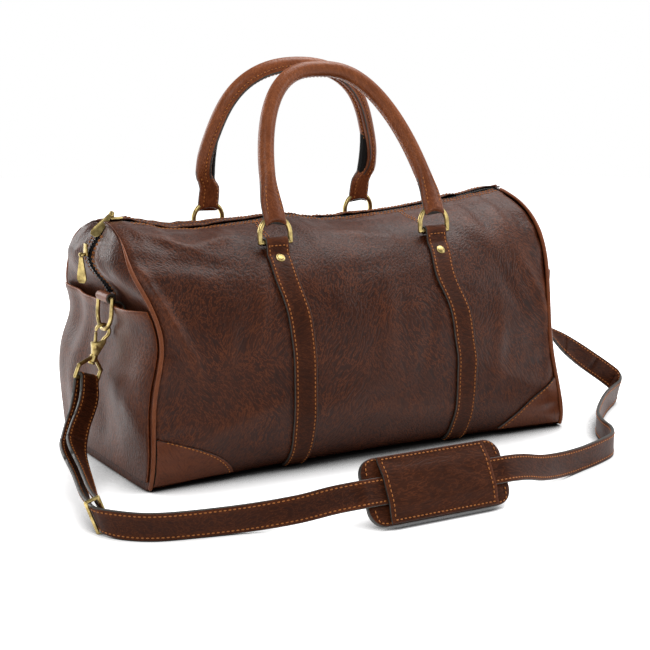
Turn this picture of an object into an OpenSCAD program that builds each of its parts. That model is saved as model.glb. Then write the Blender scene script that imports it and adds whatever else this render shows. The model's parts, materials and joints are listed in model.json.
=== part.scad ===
// A leather holdall with a zipped barrel top, two rolled handles on rings,
// zipped ends with slip pockets, and a hooked shoulder strap with a pad.
// Millimetres. +X runs along the bag, -Y is its front, +Z is up.
// The origin is on the floor under the middle of the bag.

/* [Body] */
// Length of the bag between the end seams at the base
body_len = 500; // [440:5:560]
// Height of the bag at the ends of the zip
body_h = 254; // [230:1:280]
// Half depth of the bag at the middle of its length
belly_mid = 132; // [120:1:145]
// Half depth of the bag at the end seams
belly_end = 117; // [105:1:125]
// Height of the widest level
belly_z = 108; // [95:1:120]
// Half width of the flat base at the middle
base_mid = 74; // [60:1:85]
// Half width of the flat base at the end seams
base_end = 100; // [85:1:104]
// How far the end panels draw in at half height, in the middle
mid_inset = 20; // [0:1:30]
// How far the end panels draw in at the top, in the middle
top_inset = 12; // [0:1:20]
// How far the end seams draw in at half height: front left, front right, rear left, rear right
mid_seams = [20, 29, 3, 3]; // [0:1:32]
// How far the end seams draw in at the top, in the same order
top_seams = [12, 20, 4, 4]; // [0:1:24]
// How far the right end of the zip stands above its left end
top_lean = 10; // [0:1:12]
// How far the zip line sags in the middle
top_sag = 17; // [0:1:25]
// How far the upper ends bulge out
end_bulge = 22; // [10:1:30]
// How far the lower ends swell out
end_swell = 14; // [0:1:20]

/* [Leather] */
// Thickness of the shell leather
shell_t = 2.5; // [1.5:0.1:3.5]
// Clearance between layers that are sewn together
layer_gap = 0.4; // [0.3:0.05:0.8]
// Thickness of the lining
lining_t = 1; // [0.6:0.1:1.5]
// Thickness of the stiff board in the base
board_t = 3; // [2:0.5:5]
// Length of a corner patch along the base
patch_len = 86; // [60:1:110]
// Height of a corner patch at the end seam
patch_h = 54; // [40:1:80]
// Thickness of a corner patch
patch_t = 1.8; // [1.2:0.1:2.5]
// Radius of the piping on the end seams
piping_r = 2.4; // [1.5:0.1:3]
// Height of the mouth of an end pocket
pocket_z = 170; // [150:1:171]
// How far an end pocket stands open at its mouth
pocket_open = 10; // [9:0.5:11]

/* [Zip] */
// Half width of the slot between the top panels
slot_half = 9.6; // [8:0.1:12]
// Width of the row of teeth
teeth_w = 5; // [4:0.1:6]
// Thickness of the tape and the teeth
tape_t = 1.2; // [0.8:0.1:2]
// How far the zip runs down each end panel
zip_end_drop = 74; // [60:1:76]
// Length of a slider
slider_len = 12; // [9:0.5:13]
// Width of a slider
slider_w = 9; // [7.5:0.5:11]
// Length of the pull on the top slider
top_pull = 29; // [20:1:32]
// Length of the pull on the end slider
end_pull = 28; // [20:1:30]
// Width of a pull
pull_w = 9.5; // [7:0.5:11]

/* [Body straps] */
// Distance of a strap from the middle of the bag
ring_x = 95; // [80:1:110]
// Width of a strap
strap_w = 25; // [18:1:28]
// Thickness of a strap
strap_t = 2.5; // [1.8:0.1:3]
// How far a strap drifts sideways on its way down
strap_drift = 8; // [0:1:12]
// How far the ring's bar sits below the top of the bag
ring_drop = 32; // [28:1:42]
// Radius of a rivet's cap
rivet_r = 5; // [3:0.5:6]
// Distance of the rivet from the ring along the strap
rivet_drop = 24; // [20:1:34]

/* [Handles] */
// Radius of a ring's wire
ring_r = 2.5; // [2:0.1:3]
// Half width of a ring between its wires' centres
ring_half = 17; // [16.5:0.5:20]
// Length of a ring's straight sides
ring_side = 8; // [5:0.5:12]
// Radius of a rolled handle
handle_r = 8.8; // [8:0.1:10]
// Thickness of a handle's leather
handle_t = 2.5; // [2:0.1:3]
// Rise of the front handle above its rings
front_rise = 158; // [130:1:180]
// Rise of the rear handle above its rings
rear_rise = 151; // [130:1:180]
// Lean of the front handle towards the middle
front_lean = 25; // [15:1:27]
// Lean of the rear handle towards the middle
rear_lean = 13; // [5:1:16]

/* [Shoulder strap] */
// Width of the shoulder strap
sling_w = 25; // [20:1:28]
// Thickness of the shoulder strap
sling_t = 3.2; // [2.5:0.1:3.6]
// Radius of the wire of the end rings
loop_r = 2.1; // [1.8:0.1:2.4]
// Half width of an end ring between its wires' centres
loop_half = 18; // [16:0.5:19]
// Length of an end ring's straight sides
loop_side = 14; // [12:0.5:16]
// Length of the shoulder pad
pad_len = 152; // [130:1:164]
// Width of the shoulder pad
pad_w = 62; // [50:1:62]
// Thickness of the shoulder pad
pad_t = 8; // [5:0.5:9]
// Length of the sleeve on the pad
sleeve_len = 116; // [80:1:130]

/* [Hidden] */

$fn = 32;
leather = "#4a2a1f";
leather_worn = "#7a4a30";
dark_edge = "#2b2623";
brass = "#a8894a";
cloth = "#1c1a19";
board = "#6b5a48";

half_len = body_len / 2;
ring_z = body_h - ring_drop;
zip_end_z = body_h - zip_end_drop;
// Reach of the zip line's sag to either side, and the hump in it
sag_reach = 215;
hump_h = 6;
hump_x = -45;
hump_w = 30;
// Bezier reaches of the half section, at the ends and at the middle
foot_end = 12;
foot_mid = 42;
flank_end = 88;
flank_mid = 64;
shoulder_end = 80;
shoulder_mid = 90;
crown_end = 64;
crown_mid = 78;
// Height of the end bulge, its reach up and down, and the same for the swell
bulge_z = body_h - 40;
bulge_up = 24;
bulge_down = 30;
swell_z = 90;
swell_reach = 60;

// Steps of the faceted sheets
rows = 18;
cols = 16;

function lerp(a, b, k) = a + (b - a) * k;
function unit(v) = v / norm(v);
function flat(list) = [for (row = list) each row];
function bez(p, t) = p[0] * (1 - t) ^ 3 + 3 * p[1] * (1 - t) ^ 2 * t + 3 * p[2] * (1 - t) * t ^ 2 + p[3] * t ^ 3;
function bump(x) = max(0, 1 - (x / half_len) ^ 2);
function sag(x) = top_sag * max(0, 1 - (x / sag_reach) ^ 2) - hump_h * exp(-((x - hump_x) / hump_w) ^ 2);
function top_z(x) = body_h - sag(x) + top_lean / 2 * sign(x) * (x / half_len) ^ 2;
function base_y(x) = lerp(base_end, base_mid, bump(x));
function crown(x) = lerp(crown_end, crown_mid, bump(x));

// Front half of the bag's section at x: t runs 0 to 1 up to the widest level and on to 2 at the zip
function section(x, t) =
    let (b = bump(x), belly = lerp(belly_end, belly_mid, b), y = base_y(x))
    t <= 1
        ? bez([[-y, 0], [-y - lerp(foot_end, foot_mid, b), 0],
            [-belly, belly_z - lerp(flank_end, flank_mid, b)], [-belly, belly_z]], t)
        : bez([[-belly, belly_z], [-belly, belly_z + lerp(shoulder_end, shoulder_mid, b)],
            [-crown(x), top_z(x)], [0, top_z(x)]], t - 1);
function along(x, t) = unit(section(x, min(2, t + 0.004)) - section(x, max(0, t - 0.004)));
function outward(x, t) = let (d = along(x, t)) [-d[1], d[0]];
function skin(x, t, off) = let (p = section(x, t), n = outward(x, t)) [x, p[0] + n[0] * off, p[1] + n[1] * off];
function t_at(x, z, low = 0, high = 2, steps = 24) =
    let (mid = (low + high) / 2)
    steps == 0 ? mid : section(x, mid)[1] < z ? t_at(x, z, mid, high, steps - 1) : t_at(x, z, low, mid, steps - 1);
function slot_t(x, half) = 2 - half / (3 * crown(x));

// The end seams, numbered as their insets are, and the end panel's surface
function draw_in(z, mid, top) = let (u = min(1, max(0, z / body_h))) mid * sin(180 * u) ^ 1.5 + top * u ^ 6;
function seam_no(right, rear) = (right ? 1 : 0) + (rear ? 2 : 0);
function seam_side(k) = k % 2 == 1 ? 1 : -1;
function seam_x(t, k) = half_len - draw_in(section(seam_side(k) * half_len, t)[1], mid_seams[k], top_seams[k]);
function bulge(z) = end_bulge * exp(-((z - bulge_z) / (z > bulge_z ? bulge_up : bulge_down)) ^ 2)
    + end_swell * exp(-((z - swell_z) / swell_reach) ^ 2);
function end_x(z) = half_len - draw_in(z, mid_inset, top_inset) + bulge(z);
function rim(t, k) = section(seam_side(k) * seam_x(t, k), t);
panel_x_gap = shell_t + 5 * layer_gap;

// A sheet between two grids of points, a on its outer side
module sheet(a, b) {
    n = len(a[0]);
    m = len(a);
    k = n * m;
    quads = [for (i = [0:m - 2], j = [0:n - 2]) [i * n + j, i * n + j + 1, (i + 1) * n + j + 1, (i + 1) * n + j]];
    rim = concat([for (j = [0:n - 1]) j], [for (i = [1:m - 1]) i * n + n - 1],
        [for (j = [n - 2:-1:0]) (m - 1) * n + j], [for (i = [m - 2:-1:1]) i * n]);
    faces = concat(
        [for (q = quads) each [[q[0], q[1], q[2]], [q[0], q[2], q[3]]]],
        [for (q = quads) each [[q[2] + k, q[1] + k, q[0] + k], [q[3] + k, q[2] + k, q[0] + k]]],
        [for (i = [0:len(rim) - 1]) let (p = rim[i], q = rim[(i + 1) % len(rim)])
            each [[p, p + k, q], [q, p + k, q + k]]]);
    polyhedron(concat(flat(a), flat(b)), faces, convexity = 6);
}

// A solid through a list of rings that each have the same number of points
module loft(rings) {
    n = len(rings[0]);
    m = len(rings);
    faces = concat([[for (j = [n - 1:-1:0]) j]], [[for (j = [0:n - 1]) (m - 1) * n + j]],
        [for (i = [0:m - 2], j = [0:n - 1]) let (q = (j + 1) % n)
            each [[i * n + j, i * n + q, (i + 1) * n + q], [i * n + j, (i + 1) * n + q, (i + 1) * n + j]]]);
    polyhedron(flat(rings), faces, convexity = 6);
}

// A pipe between two lists of rings
module pipe(outer, inner) {
    n = len(outer[0]);
    m = len(outer);
    k = n * m;
    last = (m - 1) * n;
    faces = concat(
        [for (i = [0:m - 2], j = [0:n - 1]) let (q = (j + 1) % n, a = i * n, b = a + n)
            each [[a + j, a + q, b + q], [a + j, b + q, b + j], [k + b + q, k + a + q, k + a + j],
                [k + b + j, k + b + q, k + a + j]]],
        [for (j = [0:n - 1]) let (q = (j + 1) % n)
            each [[q, j, k + j], [q, k + j, k + q], [last + j, last + q, last + k + q],
                [last + j, last + k + q, last + k + j]]]);
    polyhedron(concat(flat(outer), flat(inner)), faces, convexity = 8);
}
function tangent(p, i) = unit(p[min(len(p) - 1, i + 1)] - p[max(0, i - 1)]);
function tube_rings(p, r, sides, side_dir) = [for (i = [0:len(p) - 1])
    let (d = tangent(p, i), u = unit(cross(side_dir, d)), v = cross(d, u))
    [for (k = [0:sides - 1]) p[i] + r * (u * cos(360 * k / sides) + v * sin(360 * k / sides))]];
// One ring of a flat strap: its middle, its width direction and its thickness direction
function strap_ring(p, across, up, w, t) = [p - across * w / 2 - up * t / 2, p + across * w / 2 - up * t / 2,
    p + across * w / 2 + up * t / 2, p - across * w / 2 + up * t / 2];

module left_right(right) mirror([right ? 1 : 0, 0, 0]) children();
module front_rear(rear) mirror([0, rear ? 1 : 0, 0]) children();

// Shell
function panel_grid(off, rear) = [for (i = [0:rows]) [for (j = [0:cols])
    let (u = 2 * j / cols - 1, t = slot_t(u * half_len, slot_half) * i / rows)
    skin(u * (seam_x(t, seam_no(u > 0, rear)) - panel_x_gap), t, off)]];
module panel(rear) color(leather) front_rear(rear) sheet(panel_grid(0, rear), panel_grid(-shell_t, rear));
module front_panel() panel(false);
module back_panel() panel(true);

base_steps = 12;
function base_outline(in_x, in_y) = let (reach = half_len - in_x,
    edge = [for (i = [0:base_steps]) let (x = reach * (2 * i / base_steps - 1)) [x, base_y(x) - in_y]])
    concat([for (p = edge) [p[0], -p[1]]], [for (i = [base_steps:-1:0]) edge[i]]);
module base_panel() color(leather) linear_extrude(shell_t) polygon(base_outline(panel_x_gap, layer_gap));
board_z = shell_t + layer_gap;
board_margin = 8;
module base_board() color(board) translate([0, 0, board_z]) linear_extrude(board_t)
    polygon(base_outline(panel_x_gap + board_margin, board_margin));

// Half width of the end panel at its top edge, and the pocket's reach up and across the panel
end_top = 36;
pocket_foot = 10;
pocket_part = 0.96;
pocket_t0 = t_at(half_len, pocket_foot);
pocket_t1 = t_at(half_len, pocket_z);
end_t1 = slot_t(half_len, end_top);
// Rows of the end panel: one under the pocket, those behind it and those above its mouth
end_cols = 12;
behind_rows = 10;
above_rows = 9;
mouth_row = 1 + behind_rows;
end_rows = mouth_row + above_rows;
function end_row(i) = i <= 1 ? pocket_t0 * i
    : i <= mouth_row ? lerp(pocket_t0, pocket_t1, (i - 1) / behind_rows)
    : lerp(pocket_t1, end_t1, (i - mouth_row) / above_rows);
// Across the end s runs from the front seam to the rear seam, and the panel blends from its middle to each seam
function end_point(right, t, s, off, lift) = let (k = seam_no(right, s > 0), p = rim(t, k), z = p[1],
    x = end_x(z) - bulge(z) * s ^ 2 + (seam_x(t, k) - half_len + draw_in(z, mid_inset, top_inset)) * s ^ 2)
    [seam_side(k) * (x + off + lift * pocket_gap(s, z)), abs(p[0]) * s, z];
function end_grid(right, off, first, last, part, lift) = [for (i = [first:last]) [for (j = [0:end_cols])
    end_point(right, end_row(i), part * (right ? 2 * j / end_cols - 1 : 1 - 2 * j / end_cols), off, lift)]];
module end_panel(right) color(leather)
    sheet(end_grid(right, 0, 0, end_rows, 1, 0), end_grid(right, -shell_t, 0, end_rows, 1, 0));
module left_end_panel() end_panel(false);
module right_end_panel() end_panel(true);

// Pocket on the end: it touches at its seams and stands open at its mouth, less so in the middle
function pocket_gap(s, z) = pocket_open * max(0, (z - pocket_foot) / (pocket_z - pocket_foot))
    * (1 - (s / pocket_part) ^ 6) * (1 - 0.3 * exp(-(s / 0.3) ^ 2));
module end_pocket(right) color(leather) sheet(
    end_grid(right, layer_gap + shell_t, 1, mouth_row, pocket_part, 1),
    end_grid(right, layer_gap, 1, mouth_row, pocket_part, 1));
module left_end_pocket() end_pocket(false);
module right_end_pocket() end_pocket(true);

// Lining
lining_off = shell_t + 4 * layer_gap;
lining_floor = board_z + board_t + layer_gap;
lining_low = t_at(0, lining_floor + 16);
lining_rows = 10;
lining_end_gap = shell_t + lining_t + 4 * layer_gap;
function lining_side(x, off) = [for (i = [0:lining_rows])
    skin(x, lerp(lining_low, slot_t(x, 2 * slot_half), i / lining_rows), -off)];
function lining_loop(u, off, z) = let (x = u * (half_len - max(mid_seams) - lining_end_gap), p = lining_side(x, off))
    concat([for (i = [lining_rows:-1:0]) p[i]], [for (k = [-1, 1]) [x, k * (base_mid - board_margin), z]],
        [for (q = p) [q[0], -q[1], q[2]]]);
module body_lining() color(cloth) sheet(
    [for (j = [0:base_steps]) lining_loop(2 * j / base_steps - 1, lining_off, lining_floor)],
    [for (j = [0:base_steps]) lining_loop(2 * j / base_steps - 1, lining_off + lining_t, lining_floor + lining_t)]);
lining_part = 0.9;
lining_rise = [3, mouth_row + 4];
module end_lining(right) color(cloth) sheet(
    end_grid(right, -lining_off, lining_rise[0], lining_rise[1], lining_part, 0),
    end_grid(right, -lining_off - lining_t, lining_rise[0], lining_rise[1], lining_part, 0));
module left_end_lining() end_lining(false);
module right_end_lining() end_lining(true);

// Corner patches and piping
patch_foot = 6;
trim_gap = 2 * layer_gap;
patch_rows = 10;
patch_cols = 5;
patch_tip = 2;
patch_power = 1.5;
piping_off = piping_r + trim_gap;
function patch_grid(off, k) = let (t0 = t_at(half_len, patch_foot), t1 = t_at(half_len, patch_h))
    [for (i = [0:patch_rows]) let (t = lerp(t0, t1, i / patch_rows), z = section(half_len, t)[1],
        reach = max(patch_tip, patch_len * max(0, 1 - (z / patch_h) ^ patch_power)),
        x0 = seam_x(t, k) - shell_t / 2 - piping_off)
        [for (j = [0:patch_cols]) skin(-x0 + reach * j / patch_cols, t, off)]];
module corner_patch(right, rear) color(leather_worn) left_right(right) front_rear(rear)
    sheet(patch_grid(trim_gap + patch_t, seam_no(right, rear)), patch_grid(trim_gap, seam_no(right, rear)));
module front_left_patch() corner_patch(false, false);
module front_right_patch() corner_patch(true, false);
module rear_left_patch() corner_patch(false, true);
module rear_right_patch() corner_patch(true, true);

piping_rows = 28;
piping_sides = 8;
function piping_path(k) = let (t0 = t_at(half_len, patch_foot), t1 = slot_t(half_len, slot_half + piping_off + 2))
    [for (i = [0:piping_rows]) let (t = lerp(t0, t1, i / piping_rows))
        skin(seam_side(k) * (seam_x(t, k) - shell_t / 2), t, piping_off)];
module piping(right) color(leather_worn) for (rear = [false, true]) front_rear(rear)
    loft(tube_rings(piping_path(seam_no(right, rear)), piping_r, piping_sides, [1, 0, 0]));
module left_piping() piping(false);
module right_piping() piping(true);

// Zip: a path of [x, z] from the right end over the top to the left end
zip_lift = layer_gap + tape_t / 2;
zip_top_x = half_len - top_inset - 6;
zip_corner_x = half_len - top_inset + 8;
zip_corner_drop = 2.5;
zip_top_steps = 24;
zip_end_steps = 10;
zip_end_dip = 11;
function zip_side(side) = [for (i = [0:zip_end_steps])
    let (z = lerp(top_z(side * half_len) - zip_end_dip, zip_end_z, i / zip_end_steps))
    [side * (end_x(z) + zip_lift * 1.5), z]];
function zip_corner(side) = [side * zip_corner_x, top_z(side * half_len) - zip_corner_drop];
zip_over = [for (i = [0:zip_top_steps]) let (x = zip_top_x * (1 - 2 * i / zip_top_steps)) [x, top_z(x) - tape_t / 2]];
zip_right = zip_side(1);
zip_path = concat([for (i = [zip_end_steps:-1:0]) zip_right[i]], [zip_corner(1)], zip_over, [zip_corner(-1)],
    zip_side(-1));
function zip_rings(y0, y1) = [for (i = [0:len(zip_path) - 1])
    let (d = tangent(zip_path, i), n = [d[1], -d[0]] * tape_t / 2, a = zip_path[i] - n, b = zip_path[i] + n)
    [[a[0], y0, a[1]], [a[0], y1, a[1]], [b[0], y1, b[1]], [b[0], y0, b[1]]]];
tape_in = teeth_w / 2 + layer_gap;
tape_out = slot_half - layer_gap;
module front_zip_tape() color(cloth) loft(zip_rings(-tape_out, -tape_in));
module rear_zip_tape() color(cloth) loft(zip_rings(tape_in, tape_out));
module zip_teeth() color(brass) loft(zip_rings(-teeth_w / 2, teeth_w / 2));

// Zip sliders and pulls, drawn lying flat with the pull's hinge at the origin of the pull
slider_t = 2.2;
pin_r = 1.2;
pin_clear = 0.2;
eye_wall = 1;
eye_w = 4;
cheek = 1.2;
pin_lift = 1.4;
pin_h = slider_t + pin_r + pin_clear + eye_wall + pin_lift;
pull_t = 1.6;
module slider() {
    translate([-slider_len / 2, -slider_w / 2, 0]) cube([slider_len, slider_w, slider_t]);
    for (k = [-1, 1]) translate([-slider_len / 2, k * (eye_w + cheek + pin_clear * 2) / 2 - cheek / 2, slider_t])
        cube([2 * pin_r, cheek, pin_h - slider_t + pin_r]);
    translate([-slider_len / 2 + pin_r, 0, pin_h]) rotate([90, 0, 0])
        cylinder(r = pin_r, h = eye_w + 2 * cheek, center = true);
}
module pull(length) {
    difference() {
        union() {
            rotate([90, 0, 0]) cylinder(r = pin_r + pin_clear + eye_wall, h = eye_w, center = true);
            translate([-length, 0, -pull_t / 2]) linear_extrude(pull_t) polygon([[0, -pull_w / 2],
                [length * 0.45, -pull_w / 2], [length - pin_r, -eye_w / 2], [length - pin_r, eye_w / 2],
                [length * 0.45, pull_w / 2], [0, pull_w / 2]]);
        }
        rotate([90, 0, 0]) cylinder(r = pin_r + pin_clear, h = eye_w + 1, center = true);
    }
}
pin_x = -slider_len / 2 + pin_r;
// The top slider rests by the left end, and its pull hangs over the corner
top_slider = [-zip_top_x, 0, top_z(-zip_top_x) + layer_gap];
top_pull_angle = 20;
// The end slider rests high on the left end, and its pull hangs straight down
end_slider_z = body_h - 32;
end_slider_x = max([for (z = [zip_end_z:2:end_slider_z + slider_len / 2]) end_x(z)])
    + 1.5 * zip_lift + tape_t / 2 + layer_gap;
end_slider = [-end_slider_x, 0, end_slider_z];
module upper_slider() color(brass) translate(top_slider) slider();
module upper_pull() color(brass) translate(top_slider + [pin_x, 0, pin_h]) rotate([0, -top_pull_angle, 0])
    pull(top_pull);
module lower_slider() color(brass) translate(end_slider) rotate([0, -90, 0]) slider();
module lower_pull() color(brass) translate(end_slider + [-pin_h, 0, pin_x]) rotate([0, -90, 0]) pull(end_pull);

// Body straps, folded round the straight bars of the handle rings
bar_clear = 0.4;
strap_gap = 1.5 * layer_gap;
bar_rise = ring_r + bar_clear + strap_t + strap_gap;
fold_r = ring_r + bar_clear;
fold_start = 8;
strap_rows = 30;
ring_t = t_at(ring_x, ring_z);
bar_at = let (p = skin(ring_x, ring_t, bar_rise)) [p[1], p[2]];
fold_dir = along(ring_x, ring_t);
fold_up = outward(ring_x, ring_t);
function drift(z) = strap_drift * (1 - z / ring_z);
function flat_row(x, t, w) = let (xm = x + drift(section(x, t)[1]))
    [skin(xm - w / 2, t, strap_gap), skin(xm + w / 2, t, strap_gap),
        skin(xm + w / 2, t, strap_gap + strap_t), skin(xm - w / 2, t, strap_gap + strap_t)];
function fold_point(x, a, r) = let (p = bar_at + r * (fold_dir * cos(a) + fold_up * sin(a))) [x, p[0], p[1]];
function fold_row(x, a, w) = [fold_point(x - w / 2, a, fold_r), fold_point(x + w / 2, a, fold_r),
    fold_point(x + w / 2, a, fold_r + strap_t), fold_point(x - w / 2, a, fold_r + strap_t)];
module body_strap(x, rear) color(leather) front_rear(rear) loft(concat(
    [for (i = [0:strap_rows]) flat_row(x, lerp(t_at(x, patch_foot), t_at(x, ring_z - fold_start), i / strap_rows),
        strap_w)],
    [for (a = [120:-25:-80]) fold_row(x, a, strap_w)]));
module front_left_strap() body_strap(-ring_x, false);
module front_right_strap() body_strap(ring_x, false);
module rear_left_strap() body_strap(-ring_x, true);
module rear_right_strap() body_strap(ring_x, true);

rivet_h = 1.8;
module strap_rivets() color(brass) for (x = [-ring_x, ring_x], rear = [false, true]) front_rear(rear) {
    z = ring_z - rivet_drop * along(x, ring_t)[1];
    t = t_at(x, z);
    n = outward(x, t);
    translate(skin(x + drift(z), t, strap_gap + strap_t + trim_gap)) rotate([atan2(-n[0], n[1]), 0, 0])
        cylinder(r = rivet_r, h = rivet_h);
}

// Handle rings: a straight bar, two sides and a round bow
ring_lean = 5;
ring_h = ring_side + ring_half;
module bow_ring(r, half, side) {
    rotate([0, 90, 0]) cylinder(r = r, h = 2 * half, center = true);
    for (k = [-1, 1]) translate([k * half, 0, 0]) {
        sphere(r = r);
        cylinder(r = r, h = side);
    }
    translate([0, 0, side]) rotate([90, 0, 0]) rotate_extrude(angle = 180) translate([half, 0]) circle(r = r);
}
module handle_ring(x, rear) color(brass) front_rear(rear) translate([x, bar_at[0], bar_at[1]])
    rotate([-ring_lean, 0, 0]) bow_ring(ring_r, ring_half, ring_side);
module front_left_ring() handle_ring(-ring_x, false);
module front_right_ring() handle_ring(ring_x, false);
module rear_left_ring() handle_ring(-ring_x, true);
module rear_right_ring() handle_ring(ring_x, true);

// Rolled handles: an arch in a leaning plane that hinges on the ring bows
bow_at = bar_at + ring_h * [sin(ring_lean), cos(ring_lean)];
side_power = 0.8;
rise_power = 0.95;
foot_h = 17;
handle_steps = 40;
handle_sides = 10;
front_spread = -3;
front_shift = -6;
rear_spread = 13;
rear_shift = -3;
function arch(a, a0, rise, lean, spread, shift) = let (h = rise * sin(a) ^ rise_power, side = sign(cos(a)))
    [shift * (sin(a) - sin(a0)) - ring_x * side * (abs(cos(a)) / cos(a0)) ^ side_power
        - spread * (sin(2 * a) - side * sin(2 * a0)), bow_at[0] + h * sin(lean), bow_at[1] + h * cos(lean)];
function arch_path(rise, lean, spread, shift) = let (a0 = asin((foot_h / rise) ^ (1 / rise_power)))
    [for (i = [0:handle_steps]) arch(lerp(a0, 180 - a0, i / handle_steps), a0, rise, lean, spread, shift)];
front_path = arch_path(front_rise, front_lean, front_spread, front_shift);
rear_path = arch_path(rear_rise, rear_lean, rear_spread, rear_shift);
function arch_rings(path, r, lean) = tube_rings(path, r, handle_sides, [0, cos(lean), -sin(lean)]);
core_r = handle_r - handle_t - layer_gap;
module front_handle() color(leather) pipe(arch_rings(front_path, handle_r, front_lean),
    arch_rings(front_path, handle_r - handle_t, front_lean));
module rear_handle() color(leather) front_rear(true) pipe(arch_rings(rear_path, handle_r, rear_lean),
    arch_rings(rear_path, handle_r - handle_t, rear_lean));
module front_handle_core() color(cloth) loft(arch_rings(front_path, core_r, front_lean));
module rear_handle_core() color(cloth) front_rear(true) loft(arch_rings(rear_path, core_r, rear_lean));

// Flattened ends of the handles, folded round the bows
tab_w = 10;
tab_bore = ring_r + bar_clear + tab_w ^ 2 / (8 * ring_half);
tab_r = tab_bore + handle_t;
neck_w = 15;
neck_t = 9;
module handle_tab(x, rear, lean, slant) color(leather) front_rear(rear) translate([x, bow_at[0], bow_at[1]])
    rotate([-lean, 0, 0]) difference() {
        top = foot_h - layer_gap - abs(slant) * neck_w / 2;
        union() {
            rotate([0, 90, 0]) cylinder(r = tab_r, h = tab_w, center = true);
            translate([-tab_w / 2, -neck_t / 2, 0]) cube([tab_w, neck_t, tab_r + 2]);
            translate([-neck_w / 2, -neck_t / 2, tab_r + 1]) cube([neck_w, neck_t, top - tab_r - 1]);
        }
        rotate([0, 90, 0]) cylinder(r = tab_bore, h = neck_w + 1, center = true);
    }
function slant(path, i) = tangent(path, i)[0];
module front_left_tab() handle_tab(-ring_x, false, front_lean, slant(front_path, 0));
module front_right_tab() handle_tab(ring_x, false, front_lean, slant(front_path, handle_steps));
module rear_left_tab() handle_tab(-ring_x, true, rear_lean, slant(rear_path, 0));
module rear_right_tab() handle_tab(ring_x, true, rear_lean, slant(rear_path, handle_steps));

// End rings on tabs that are sewn in at the pocket mouths
end_ring_y = -20;
end_ring_z = pocket_z + 7;
end_ring_tilt = 6;
end_tab_w = 28;
end_tab_t = 2.5;
end_tab_bore = loop_r + bar_clear;
end_tab_r = end_tab_bore + end_tab_t;
// Room between the end panel and the tab's roll, in which the hook swings
roll_gap = 5.4;
end_ring_x = max([for (k = [-4:4]) end_x(end_ring_z + end_tab_r * k / 4)]) + end_tab_r + roll_gap;
sewn_foot = pocket_z - 12;
sewn_top = end_ring_z - end_tab_r + end_tab_t;
sewn_x = max([for (k = [0:8]) end_x(lerp(sewn_foot, sewn_top, k / 8))]) + trim_gap;
module ring_tab() translate([-end_ring_x, end_ring_y, end_ring_z]) difference() {
    union() {
        rotate([90, 0, 0]) cylinder(r = end_tab_r, h = end_tab_w, center = true);
        translate([0, -end_tab_w / 2, -end_tab_r]) cube([end_ring_x - sewn_x, end_tab_w, end_tab_t]);
        translate([end_ring_x - sewn_x - end_tab_t, -end_tab_w / 2, sewn_foot - end_ring_z])
            cube([end_tab_t, end_tab_w, sewn_top - sewn_foot]);
    }
    rotate([90, 0, 0]) cylinder(r = end_tab_bore, h = end_tab_w + 1, center = true);
}
module left_ring_tab() color(leather_worn) left_right(false) ring_tab();
module right_ring_tab() color(leather_worn) left_right(true) ring_tab();
module end_ring_frame(right) left_right(right) translate([-end_ring_x, end_ring_y, end_ring_z])
    rotate([0, end_ring_tilt, 0]) children();
module d_ring(right) color(brass) end_ring_frame(right) rotate([180, 0, 90]) bow_ring(loop_r, loop_half, loop_side);
module left_d_ring() d_ring(false);
module right_d_ring() d_ring(true);

// Snap hooks: the frame's origin is the middle of the ring's wire at the foot of its bow
hook_tilt = 22;
loop_drop = loop_side + loop_half;
hook_at = [-end_ring_x - loop_drop * sin(end_ring_tilt), end_ring_y, end_ring_z - loop_drop * cos(end_ring_tilt)];
module hook_frame(right) left_right(right) translate(hook_at) rotate([0, hook_tilt, 0]) children();
module plate(t) rotate([90, 0, 0]) linear_extrude(t, center = true) children();
hook_eye_r = 5.2;
hook_wall = 3.5;
hook_t = 6;
hook_seat = loop_r + 0.6;
hook_eye_z = -(hook_eye_r - hook_seat);
hook_foot = -27;
hook_half = 4.5;
gate_at = [-2, -19.5];
gate_t = 2.4;
gate_pin_r = 1.2;
post_r = 2;
post_foot = -34.5;
post_head_r = 3.4;
mouth = [[-12, -3.6], [-3, -3.6], [1, -6.5], [1, -17.2], [-6, -17.2], [-12, -10]];
module hook_body() {
    difference() {
        plate(hook_t) difference() {
            union() {
                translate([0, hook_eye_z]) circle(r = hook_eye_r + hook_wall);
                translate([-hook_half, hook_foot]) square([2 * hook_half, -hook_foot - hook_eye_r - hook_wall]);
            }
            translate([0, hook_eye_z]) circle(r = hook_eye_r);
            polygon(mouth);
        }
        plate(gate_t + 0.6) translate([gate_at[0] - 4, gate_at[1] - 3]) square([7.4, 6.5]);
        translate([gate_at[0], 0, gate_at[1]]) rotate([90, 0, 0])
            cylinder(r = gate_pin_r + 0.02, h = hook_t + 1, center = true);
    }
    translate([0, 0, post_foot - 2]) cylinder(r = post_head_r, h = 2);
    translate([0, 0, post_foot]) cylinder(r = post_r, h = hook_foot - post_foot);
}
module gate() plate(gate_t) difference() {
    polygon([[-7.8, -5.2], [-5.2, -4.2], [-0.9, -16.6], [0.6, -18.6], [0.6, -20.8], [-1.2, -21.9],
        [-3.4, -21.2], [-4.4, -19]]);
    translate(gate_at) circle(r = gate_pin_r + 0.1);
}
module gate_pin() translate([gate_at[0], 0, gate_at[1]]) rotate([90, 0, 0])
    cylinder(r = gate_pin_r, h = hook_t, center = true);
module left_hook() color(brass) hook_frame(false) hook_body();
module right_hook() color(brass) hook_frame(true) hook_body();
module left_gate() color(brass) hook_frame(false) gate();
module right_gate() color(brass) hook_frame(true) gate();
module left_gate_pin() color(brass) hook_frame(false) gate_pin();
module right_gate_pin() color(brass) hook_frame(true) gate_pin();

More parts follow.
